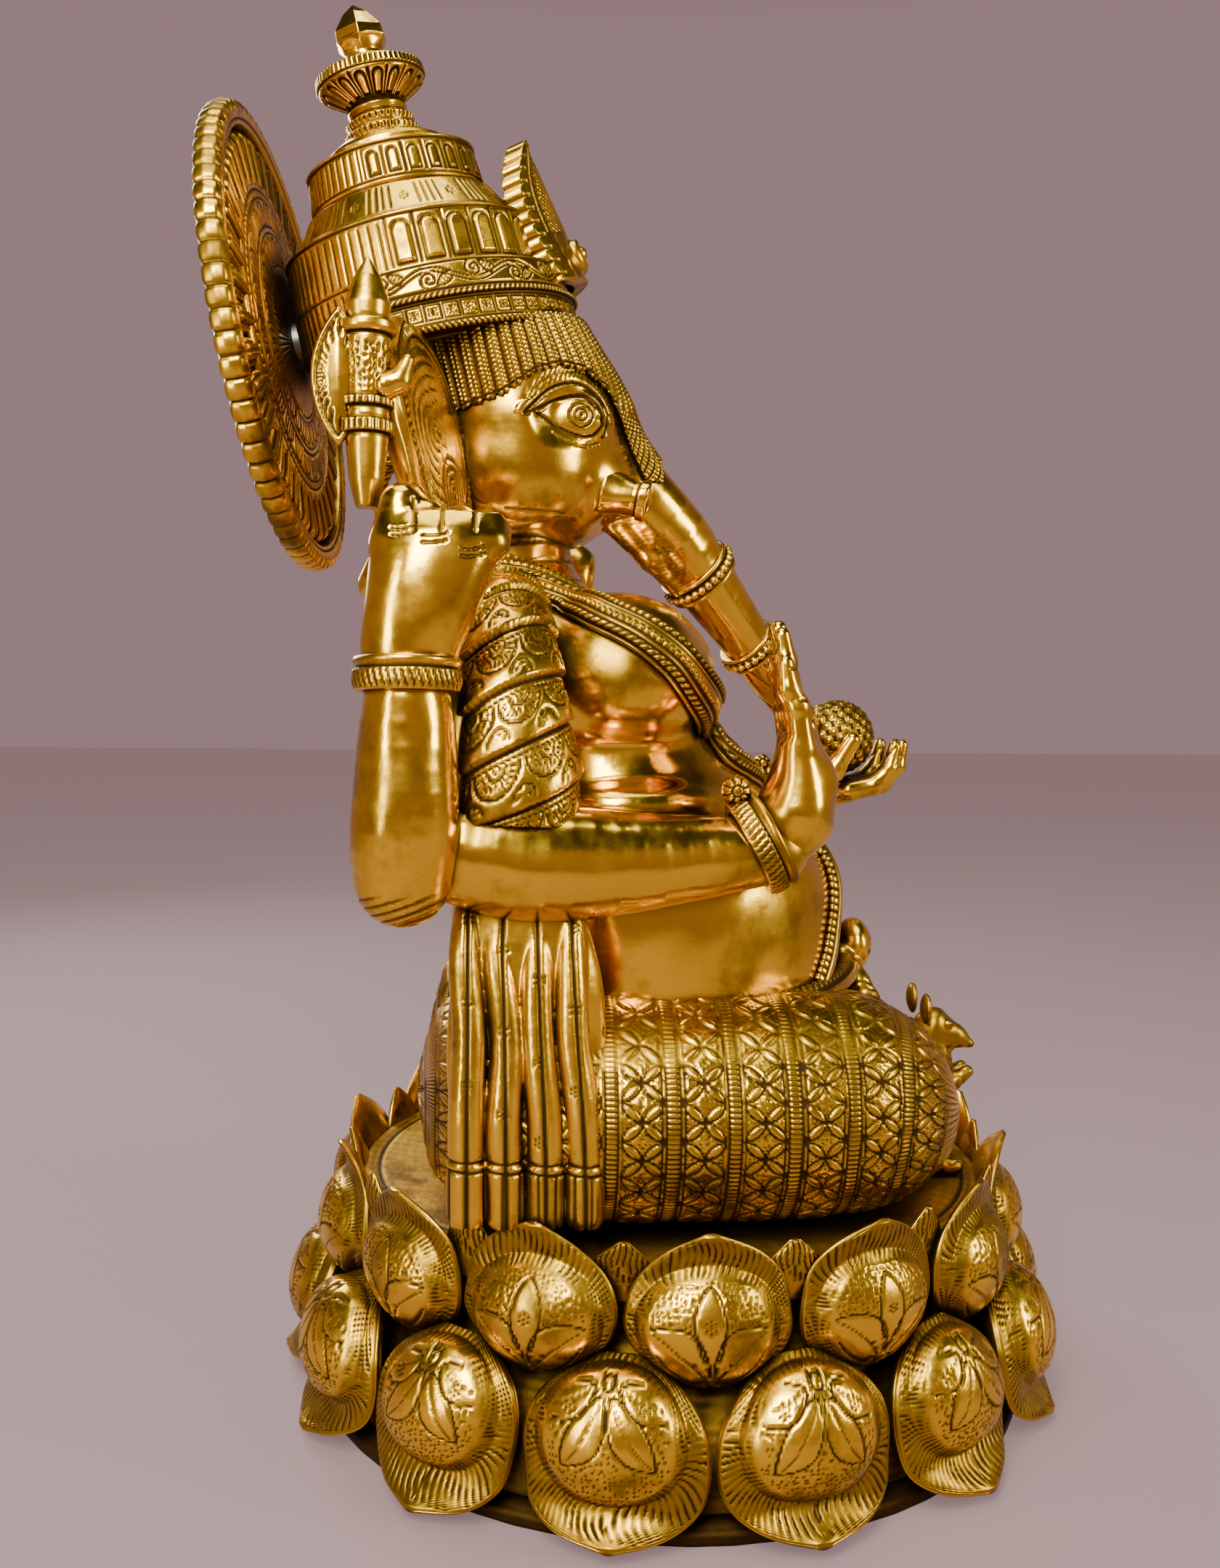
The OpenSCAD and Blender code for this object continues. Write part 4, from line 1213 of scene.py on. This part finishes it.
def head_relief(p, n):
    side, y, z = np.abs(p[:, 0]), p[:, 1], p[:, 2]
    near = (side > 20) & (np.abs(y - 52) < 24) & (np.abs(z - 428) < 22)
    u, v = y[near], z[near]
    upper, lower, crease = stroke(u, v, UPPER_LID), stroke(u, v, LOWER_LID), stroke(u, v, CREASE)
    iris = np.hypot(u - IRIS[0], v - IRIS[1])
    rings = most([line(iris - 5.0, 0.6), line(iris - 2.6, 0.5), line(iris, 1.1)])
    brow = stroke(u, v, EYEBROW)
    hairs = cuts(u + 0.5 * v, 1.7, 0.4) * within(brow, 0, 2.2)
    drawn = most([line(upper, 1.1), line(lower, 0.9), line(crease, 0.9),
                  0.8 * line(stroke(u, v, UNDER_EYE), 0.6),
                  rings, 0.7 * line(brow, 0.5), 0.6 * hairs])
    eye_ink, eye_lift = np.zeros(len(p)), np.zeros(len(p))
    eye_ink[near] = drawn * ramp(20, 25, side[near])
    eye_lift[near] = 0.9 * within(np.maximum(upper, 5.6 - crease), 0.9, 4.8) * (crease < 5) * (v > 426)
    jaw = line(z - 386.5 - 0.05 * (y - 60), 0.7) * within(y, 52, 78) * (side > 30) * 0.5
    under = within(y, -4, 30) * (n[:, 2] < -0.35) * within(z, 350, 392)
    ridges = under * (0.5 + 0.5 * np.sin(p[:, 0] * 1.9 + np.sin(z * 0.9) * 2) * np.sin(z * 1.3 + y))
    wrinkle = cuts(z - 0.7 * y, 7.5, 0.6) * (z < 326) * 0.6
    return eye_lift + 0.5 * ridges + 0.2 * wobble(p, 14, 4), most([eye_ink, jaw, 0.55 * ridges, wrinkle])


def head():
    return sculpt(head_field, (-60, -86, 284), (60, 152, 492), 0.68, head_relief)


CROWN_BASE = np.array([0, 111, 465.0])
CROWN_LEAN = math.radians(13.5)
on_crown = put(CROWN_BASE, -CROWN_LEAN)


def crown_frame(p):
    spin = np.array(Matrix.Rotation(-CROWN_LEAN, 3, "X"))
    return (p - CROWN_BASE) @ spin


def net_field(p):
    side, y, z = np.abs(p[:, 0]), p[:, 1], p[:, 2]
    skin = head_field(p)
    brow = np.interp(y, BROW_Y, BROW_Z) - z
    middle = most([side - np.interp(z, (402, 412, 432, 448), (0.5, 5, 13, 22)), 401.5 - z, y - 52])
    edge = np.minimum(brow, middle)
    top = crown_frame(p)[:, 2] + 8.0
    temple = y - 106 - 0.24 * (z - 424)
    return most([skin - 2.0, -skin - 4.0, edge, top, temple])


def net_relief(p, n):
    q = crown_frame(p)
    turn = np.arctan2(q[:, 0], -q[:, 1])
    low = ramp(440, 428, p[:, 2]) * (p[:, 1] < 40)
    u = turn * 52
    string = cell(u, 4.5)
    tick = cell(q[:, 2] + 0.8 * np.floor(string / 2.0), 1.9)
    on = np.abs(string) < 1.7
    dark = 1 - ramp(2.25, 1.3, np.abs(string))
    bead_ink = np.maximum(line(np.abs(tick) - 0.95, 0.45), line(string, 0.4)) * on
    net = most([cuts(p[:, 0] + slant * p[:, 2], 2.6, 0.5) for slant in (0.7, -0.7)])
    lift = 0.9 * ramp(2.1, 0.9, np.abs(string))
    rim = line(np.interp(p[:, 1], BROW_Y, BROW_Z) - p[:, 2] + 1.4, 0.8) * (p[:, 1] > 30)
    ink = np.maximum(np.maximum(dark, 0.8 * bead_ink) * (1 - low), net * low)
    return lift * (1 - low), np.maximum(ink, rim)


def forehead_net():
    return sculpt(net_field, (-60, 8, 400), (60, 140, 486), 0.58, net_relief)


EAR = [(-46, 101, 420, 4, 26), (-57, 103, 417, 4.6, 38), (-75, 108, 412, 4.4, 46),
       (-93, 114, 408, 4.2, 44), (-104, 117, 403, 3.6, 32), (-110, 118, 401, 2, 12)]


def ear_relief(along, angle, grid):
    """Folds that sweep out from the root, inside a plaited border."""
    z = grid[..., 2] - np.interp(along, (0, 66), (424, 402))
    x = along
    radius = np.hypot((x - 30) / 33, z / 44)
    turn = np.arctan2(z / 44, (x - 30) / 33)
    border = np.maximum(line((radius - 0.80) * 38, 0.8), line((radius - 0.93) * 38, 0.8))
    plait = cuts(turn * 34 + radius * 20, 2.8, 0.6) * within(radius, 0.82, 0.91, 0.02)
    bent = (radius - 0.1 * np.cos(turn * 2)) * 38 - 1
    swirl = cuts(bent, 4.6, 0.6) * (radius < 0.74) * (np.abs(turn) < 2.3)
    lobe = np.hypot(x - 28, (z + 24) * 0.8)
    rings = cuts(lobe, 3.0, 0.55) * (lobe < 12)
    ink = np.where(lobe < 12, rings, most([border, plait, swirl * 0.85]))
    return 1.2 * within(radius, 0.78, 1.2, 0.04), ink


def curled_lobe():
    """Hollow curl at the foot of the far ear."""
    def field(p):
        shell = ball(p, (68, 44, 364), (16, 15, 20))
        return carve(shell, ball(p, (66, 32, 362), (12, 18, 15)), 2)
    return sculpt(field, (46, 20, 340), (90, 66, 388), 0.8)


def tusk(side):
    """Capped stump on the right, whole tusk on the left."""
    if side < 0:
        droop = 104
        profile = [(0.4, 0), (10.5, 0), (9, 10), (7.6, 17), (8.8, 19), (8.8, 23), (6.4, 23.4), (5, 19),
                   (0.4, 18)]
    else:
        droop = 100
        profile = [(0.4, 0), (9, 0), (7, 14), (5, 30), (3, 44), (1.6, 48), (0.4, 49)]
    place = put((side * 27, 38, 399), math.radians(droop), 0, math.radians(side * 10))

    def relief(along, angle, r, z):
        return 0.3 * np.sin(angle * 3 + z * 0.3), line(z - 18.4, 0.8) + 0.6 * line(z - 3, 0.8)
    return lathe(profile, relief, 0.6, place, False)


def band(radius, half, centre, turn_x, turn_y):
    """Ring round the trunk: rope between two plain edges."""
    profile = [(radius - 3, -half), (radius + 1.8, -half), (radius + 2.4, 0), (radius + 1.8, half),
               (radius - 3, half)]

    def relief(along, angle, r, z):
        bits = bead_row(angle * radius, z, 3.4, 1.7)
        rails = line(np.abs(z) - half * 0.55, 0.55)
        on = r > radius
        return bits[0] * on, np.maximum(bits[1], rails) * on
    return lathe(profile, relief, 0.55, put(centre, turn_x, turn_y))


TRUNK_BANDS = [(15.8, 5.0, (13, -12, 366), math.radians(-40), math.radians(-30)),
               (12.2, 4.6, (33, -40, 333), math.radians(-40), math.radians(-33))]

make("head_and_trunk", head(), POLISHED, "head", "trunk")
make("forehead_net", forehead_net(), CHASED)
EARED = tube(EAR, ear_relief, (0, 0.97, -0.25), step=0.7)
make("right_ear", EARED, CHASED)
make("left_ear", join(mirrored(EARED), curled_lobe()), CHASED)
make("trunk_rings", join(*[band(*ring) for ring in TRUNK_BANDS]), CHASED)
make("right_tusk", tusk(-1), POLISHED)
make("left_tusk", tusk(1), POLISHED)

# ------------------------------------------------------------ crown

DIADEM_R, DIADEM_Z = 66.0, -13.0


def arch(u, v, half, foot, top):
    """Signed distance to a round-headed window."""
    spring = top - half
    return np.where(v > spring, np.hypot(u, v - spring) - half, np.maximum(np.abs(u) - half, foot - v))


def vine(u, v):
    """Running scroll: a waving stem, a spiral in every bend, and hatched leaves."""
    pitch = 38.0
    stem = v - 3.0 * np.sin(u * TAU / pitch)
    lines = np.maximum(line(stem - 0.9, 0.6), line(stem + 0.9, 0.6))
    half = cell(u, pitch / 2)
    up = np.where(np.floor(u / (pitch / 2)) % 2 == 0, 1.0, -1.0)
    p, q = half, (v + up * 1.5) * up
    curl = spiral(p, q, 2.3, 1.7, 0.62)
    blade = leaf((half - 6.5) * 0.8 + q * 0.6, q * 0.8 - (half - 6.5) * 0.6, 4.6, 2.0)
    veins = cuts((half - 6.5) * 0.8 + q * 0.6, 1.5, 0.4) * (blade < -0.3)
    return most([lines * (np.hypot(p, q) > 3.8), curl, line(blade, 0.55), veins * 0.8])


def diadem():
    outline = [(49, 2), (DIADEM_R, 2), (DIADEM_R + 1.6, 3.8), (DIADEM_R + 0.4, 6), (DIADEM_R - 0.4, 14),
               (DIADEM_R + 0.8, 16), (DIADEM_R - 0.8, 19), (DIADEM_R - 3, 31), (49, 31)]
    profile = [(r, z + DIADEM_Z) for r, z in outline]

    def relief(along, angle, r, z):
        z = z - DIADEM_Z
        u = angle * 62
        on = r > 58
        low = rope(u, z - 3.8, 2.3, 1.5)
        high = rope(-u, z - 16.6, 2.3, 1.5)
        rails = rings_at(z, (6.2, 14.2, 19.2, 30.0), 0.55)
        p, q = cell(u, 7.2), z - 10.2
        square = np.maximum(np.abs(p), np.abs(q) * 0.9)
        panel = line(square - 2.9, 0.45)
        star = line(leaf(np.abs(p) + np.abs(q) - 1.9, np.abs(p) - np.abs(q), 1.5, 0.9), 0.4) * (square < 2.6)
        posts = line(np.abs(cell(u, 7.2)) - 3.6, 0.4)
        row = most([panel, star, posts * 0.7]) * within(z, 6.8, 13.8)
        scroll = vine(u, z - 24.8) * within(z, 19.8, 29.6)
        lift, ink = merge(low, high, (0.0, most([rails, row, scroll])))
        return lift * on, ink * on
    return lathe(profile, relief, 0.5, on_crown, True, math.radians(165), math.radians(210))


def windows(u, z, pitch, half, foot, top):
    """Row of round-headed windows with a post between each two."""
    p = cell(u, pitch)
    d = arch(p, z, half, foot, top)
    return np.maximum(line(d, 0.75), line(np.abs(p) - pitch / 2, 0.7) * within(z, foot - 1, top + 2))


def lower_tier():
    profile = [(0.4, -8), (51, -8), (57, 0), (57, 17), (55.4, 40), (56, 42), (50, 45), (45, 53), (42, 58),
               (38, 60), (0.4, 60)]

    def relief(along, angle, r, z):
        u = angle * 56
        front = np.sin(angle) < 0.15
        bold = windows(u, z, 12.0, 4.1, 21, 38.6)
        fine = cuts(u, 4.4, 0.6) * np.maximum(within(z, 19, 39.5), within(z, 1, 16))
        dome = angle * 46
        off = np.abs(cell(dome, 21))
        pair = np.maximum(line(off - 1.4, 0.55), line(off - 4.6, 0.45)) * within(z, 46, 57)
        mark = rosette(cell(dome + 10.5, 21), z - 51, 1.6, 0.6)
        rails = rings_at(z, (17.4, 41.0, 44.6), 0.6)
        on = r > 40
        raised = 0.9 * (arch(cell(u, 12.0), z, 4.1, 21, 38.6) < -0.8) * front
        return raised * on, most([np.where(front, bold, fine), pair * 0.8, mark, rails]) * on
    return lathe(profile, relief, 0.75, on_crown, False)


def upper_tier():
    profile = [(0.4, 60), (38, 60), (39, 62), (37.4, 76), (38, 78), (28, 79), (28, 84), (22, 88), (16, 90),
               (0.4, 90)]

    def relief(along, angle, r, z):
        u = angle * 38
        front = np.sin(angle) < 0.3
        bold = windows(u, z, 9.0, 2.3, 64, 74)
        fine = cuts(u, 3.6, 0.5) * within(z, 62.5, 76)
        on = r > 35
        rails = rings_at(z, (62, 76.5, 79, 84.4), 0.6)
        return 0.0, np.maximum(np.where(front, bold, fine) * on, rails)
    return lathe(profile, relief, 0.65, on_crown, False)


def finial():
    profile = [(0.4, 90), (16, 90), (17, 93), (14, 95), (15.4, 98), (12, 100), (13.4, 103), (11, 105),
               (23, 113), (24.5, 115), (24, 119), (12, 124), (8, 126), (8, 128), (12, 133), (11.4, 138),
               (6, 145), (0.4, 149.5)]

    def relief(along, angle, r, z):
        ticks = cuts(angle * 24, 2.4, 0.5) * within(z, 115.2, 118.8, 0.3)
        panels = windows(angle * 18, z, TAU * 18 / 16, 2.0, 106, 112.4) * within(z, 105, 113.4)
        neck = cuts(angle * 15, 2.8, 0.5) * np.maximum(within(z, 90.5, 93.5), within(z, 96, 99))
        rails = rings_at(z, (94.6, 100, 105, 114.4, 119.4), 0.55)
        flats = TAU / 6
        facet = np.cos(flats / 2) / np.cos(cell(angle, flats)) - 1
        bud = r * facet * ramp(128, 132, z) * 0.8
        return bud, most([ticks, panels, neck, rails])
    return lathe(profile, relief, 0.5, on_crown, False)


def plaque():
    """Leaf with a scalloped thick edge, herringbone cuts and a curled jewel at its foot."""
    tall, wide, thick = 67.0, 28.0, 4.6

    def half_width(t):
        t = np.clip(t, 0, 1)
        return wide * (1 - t**4) ** 0.5 * (0.88 + 0.4 * t * (1 - t))

    def frame_of(p):
        q = crown_frame(p) - np.array([0, -71, 11.0])
        lean = math.radians(12)
        up = q[:, 2] * math.cos(lean) + q[:, 1] * math.sin(lean)
        out = -q[:, 1] * math.cos(lean) + q[:, 2] * math.sin(lean)
        return q[:, 0], up, out + q[:, 0] ** 2 / 46

    def edge_of(x, up):
        return (np.abs(x) - half_width(up / tall)) * 0.8

    def field(p):
        x, up, out = frame_of(p)
        edge = edge_of(x, up) - 0.7 * np.abs(np.cos(up * math.pi / 6.0))
        body = most([edge, np.abs(out) - thick + 1.0 * ramp(-5, -8, edge), -up, up - tall])
        curl = np.hypot(np.hypot(np.abs(x) - 4.5, up - 12) - 5.0, out - thick - 0.5) - 1.9
        knob = np.sqrt(x**2 + (up - 13) ** 2 + (out - thick - 1) ** 2) - 3.4
        return np.minimum(blend(body, curl, 1.5), knob)

    def relief(p, n):
        x, up, out = frame_of(p)
        edge = edge_of(x, up)
        rib = cuts(up - 0.8 * np.abs(x), 2.6, 0.55) * (edge < -6) * (np.abs(x) > 1.2)
        rails = np.maximum(line(edge + 5.4, 0.7), line(edge + 3.2, 0.5))
        spine = line(np.abs(x) - 1.0, 0.45)
        side = cuts(up, 6.0, 0.7) * (np.abs(edge) < 2)
        face = np.abs(out) > thick - 2.4
        return 0.0, np.maximum(most([rib, rails, spine * (edge < -6)]) * face * (up > 22), side * 0.8)
    return sculpt(field, (-35, 20, 468), (35, 104, 568), 0.6, relief)


make("diadem", diadem(), CHASED)
make("crown_lower_tier", lower_tier(), CHASED)
make("crown_upper_tier", upper_tier(), CHASED)
make("crown_finial", finial(), POLISHED)
make("crown_plaque", plaque(), CHASED)

# ------------------------------------------------------------ halo

HALO_LEAN, HALO_TURN = math.radians(9), math.radians(4.5)
HALO_R = 100.0
on_halo = put((0, 179, 463), math.pi / 2 - HALO_LEAN, 0, -HALO_TURN)


def halo_rim():
    profile = [(HALO_R - 11, 0.5), (HALO_R - 5, 0.5), (HALO_R - 5, -5), (HALO_R - 1, -4), (HALO_R, 0),
               (HALO_R - 1, 4), (HALO_R - 4, 6), (HALO_R - 10, 5)]

    def relief(along, angle, r, z):
        pitch = TAU * HALO_R / 72
        at = cell(angle * HALO_R, pitch)
        outer = ramp(HALO_R - 6, HALO_R - 1, r)
        gap = line(np.abs(at) - pitch / 2, 0.8)
        groove = line(r - HALO_R + 8, 0.7) * (z > 3)
        return 1.9 * (bead(at, 5.0) - 0.6) * outer, np.maximum(gap * outer, groove)
    return lathe(profile, relief, 0.95, on_halo)


def halo_plate():
    """Two rings of fluted feathers between the rim and the middle."""
    profile = [(6, -5), (HALO_R - 5, -5), (HALO_R - 5, 0), (70, 0.5), (6, 0.5)]

    def relief(along, angle, r, z):
        pitch = TAU / 36
        a = cell(angle, pitch) * r
        width = pitch * r / 2
        crest = bead(a, width * 0.96)
        round_off = 1 - ramp(84, 91, r + 0.10 * a**2)
        flute = line(a, 0.8) * 0.8 + line(np.abs(a) - width * 0.5, 0.8)
        front = (z > -1) & (r > 66)
        back = (z < -4)
        ticks = cuts(angle * 40, 6, 0.7) * within(r, 70, 84)
        ring = np.maximum(cuts(r, 14, 0.8), ticks) * back * 0.7
        lift = 5.0 * crest * round_off * front
        # Painted shade: the plate between the feathers and out past their tips is inked fully dark.
        ink = np.maximum(np.where(crest * round_off > 0.25, flute, 1.0) * front, ring)
        return lift, np.clip(ink, 0, 1)
    return lathe(profile, relief, 0.95, on_halo)


def halo_boss():
    """Engraved disc: plain border, rings of leaves, and a fan of fine lines."""
    profile = [(6, 0.4), (70, 0.4), (70.4, 3), (69, 4.6), (62, 5.2), (60, 5.6), (38, 7.0), (6, 8)]

    def relief(along, angle, r, z):
        rails = rings_at(r, (64.5, 60.5, 49, 46.5, 35, 33), 0.7)
        leaves = arch(cell(angle, TAU / 24) * 55, r, 5.4, 50, 59.5)
        leaf_ribs = line(cell(angle, TAU / 120) * 55, 0.45) * (leaves < -1.4)
        leaf_lines = np.maximum(line(leaves, 0.6), leaf_ribs) * within(r, 50, 60)
        inner = arch(cell(angle, TAU / 30) * 41, r, 3.4, 36, 45)
        inner_ribs = line(cell(angle, TAU / 90) * 41, 0.4) * (inner < -1.2)
        inner_lines = np.maximum(line(inner, 0.55), inner_ribs) * within(r, 35.5, 46)
        fan = line(cell(angle, TAU / 60) * r, 0.5) * within(r, 13, 32)
        border = line(cell(angle, TAU / 100) * r, 0.5) * within(r, 61.4, 63.8)
        return 0.0, most([rails, leaf_lines, inner_lines, fan * 0.8, border]) * (z > 3)
    return lathe(profile, relief, 0.9, on_halo)


make("halo_rim", halo_rim(), CHASED)
make("halo_plate", halo_plate(), CHASED)
make("halo_boss", halo_boss(), CHASED)

# ------------------------------------------------------------ mouse

def mouse():
    def field(p):
        body = [(-24, -113, 108, 13), (-24, -115, 126, 12), (-23, -117, 142, 9.5), (-22, -117, 156, 9)]
        d = chain(p, body, 6)
        d = blend(d, chain(p, [(-22, -119, 160, 8.6), (-24, -129, 155, 5), (-25, -135, 152, 2.4)], 3), 4)
        for s in (-1, 1):
            d = blend(d, chain(p, [(-24 + s * 6, -124, 133, 4.2), (-24 + s * 4.5, -133, 140, 3.2)], 2), 2)
            d = blend(d, chain(p, [(-24 + s * 10, -116, 100, 5.5), (-24 + s * 10, -127, 98, 4)], 2), 3)
            ear = ball(p, (-22 + s * 11.5, -112, 170), (6.6, 2.6, 7.4))
            d = blend(d, carve(ear, ball(p, (-22 + s * 12, -115.5, 171), (4.8, 3, 5.4)), 1), 1.5)
            d = blend(d, ball(p, (-22 + s * 6.5, -124, 162), (2, 2, 2)), 0.8)
        return d

    def relief(p, n):
        fur = cuts(p[:, 0] * 0.7 + p[:, 2] * 0.5 + np.sin(p[:, 1] * 0.8), 3.2, 0.5) * (p[:, 2] < 152)
        return 0.3 * wobble(p, 7), 0.35 + 0.4 * fur
    return sculpt(field, (-48, -142, 92), (2, -94, 182), 0.8, relief)


make("mouse", mouse(), CHASED)
BOLT = steel()
for name in ("seat_bolts", "halo_stud", "halo_nut"):
    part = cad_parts[name]
    part.data.materials.clear()
    part.data.materials.append(BOLT)

# ------------------------------------------------------------ stage

CAM_AZ, CAM_PITCH, CAM_ROLL = math.radians(-3.9), math.radians(4.0), math.radians(0.57)
CAM_BACK, CAM_ASIDE, CAM_HIGH = 0.670, 0.0291, 0.315
LENS_PX, LONG_SIDE_PX, SENSOR = 2000.0, 2159.0, 36.0
BACKDROP = (0.325, 0.205, 0.212, 1)
CEILING = (0.035, 0.028, 0.026, 1)
FLOOR_TONE = (0.12, 0.085, 0.088, 1)
FLOOR_HALF = 6.0


def add_camera():
    data = bpy.data.cameras.new("camera")
    data.sensor_width = SENSOR
    data.lens = LENS_PX * SENSOR / LONG_SIDE_PX
    data.clip_start = 0.01
    camera = bpy.data.objects.new("camera", data)
    forward = Vector((math.cos(CAM_AZ) * math.cos(CAM_PITCH), math.sin(CAM_AZ) * math.cos(CAM_PITCH),
                      -math.sin(CAM_PITCH)))
    right = Vector((math.sin(CAM_AZ), -math.cos(CAM_AZ), 0.0))
    down = forward.cross(right)
    tilted = math.cos(CAM_ROLL) * right - math.sin(CAM_ROLL) * down
    up = -(math.sin(CAM_ROLL) * right + math.cos(CAM_ROLL) * down)
    place = Vector((-CAM_BACK * math.cos(CAM_AZ), -CAM_BACK * math.sin(CAM_AZ), CAM_HIGH))
    place = place - right * CAM_ASIDE
    camera.matrix_world = Matrix((
        (tilted.x, up.x, -forward.x, place.x), (tilted.y, up.y, -forward.y, place.y),
        (tilted.z, up.z, -forward.z, place.z), (0, 0, 0, 1)))
    bpy.context.scene.collection.objects.link(camera)
    bpy.context.scene.camera = camera


def softbox(name, place, aim, size, power, tint=(1.0, 1.0, 1.0)):
    data = bpy.data.lights.new(name, "AREA")
    data.shape = "RECTANGLE"
    data.size, data.size_y = size
    data.energy = power
    data.color = tint
    lamp = bpy.data.objects.new(name, data)
    lamp.location = place
    lamp.rotation_euler = (Vector(aim) - Vector(place)).to_track_quat("-Z", "Y").to_euler()
    bpy.context.scene.collection.objects.link(lamp)


def add_floor():
    corner = [(x * FLOOR_HALF, y * FLOOR_HALF, 0) for x, y in ((-1, -1), (1, -1), (1, 1), (-1, 1))]
    mesh = bpy.data.meshes.new("floor")
    mesh.from_pydata(corner, [], [(0, 1, 2, 3)])
    mat = bpy.data.materials.new("pale_floor")
    mat.use_nodes = True
    shader = mat.node_tree.nodes["Principled BSDF"]
    shader.inputs["Base Color"].default_value = FLOOR_TONE
    shader.inputs["Emission Color"].default_value = BACKDROP
    shader.inputs["Emission Strength"].default_value = 0.75
    shader.inputs["Roughness"].default_value = 0.9
    mesh.materials.append(mat)
    floor = bpy.data.objects.new("floor", mesh)
    bpy.context.scene.collection.objects.link(floor)


def add_world():
    world = bpy.data.worlds.new("studio")
    world.use_nodes = True
    back = world.node_tree.nodes["Background"]
    nodes, links = world.node_tree.nodes, world.node_tree.links
    split = nodes.new("ShaderNodeSeparateXYZ")
    links.new(nodes.new("ShaderNodeTexCoord").outputs["Generated"], split.inputs["Vector"])
    fade = nodes.new("ShaderNodeValToRGB")
    fade.color_ramp.elements[0].position, fade.color_ramp.elements[1].position = 0.40, 0.60
    fade.color_ramp.elements[0].color = BACKDROP
    fade.color_ramp.elements[1].color = CEILING
    links.new(split.outputs["Z"], fade.inputs["Fac"])
    links.new(fade.outputs["Color"], back.inputs["Color"])
    back.inputs["Strength"].default_value = 1.0
    bpy.context.scene.world = world


MIDDLE = (0, 0, 0.30)
add_camera()
add_floor()
add_world()
softbox("key", (-1.05, 0.35, 1.15), MIDDLE, (0.55, 0.85), 46, (1.0, 0.96, 0.88))
softbox("window", (-0.95, 0.95, 0.45), MIDDLE, (0.18, 0.8), 7, (1.0, 0.98, 0.95))
softbox("front", (-0.6, -1.25, 0.75), MIDDLE, (0.40, 0.8), 15, (1.0, 0.97, 0.92))
softbox("rear", (1.0, 0.7, 0.9), MIDDLE, (0.6, 0.8), 16)
softbox("top", (-0.1, 0.1, 1.9), MIDDLE, (1.0, 1.0), 16)
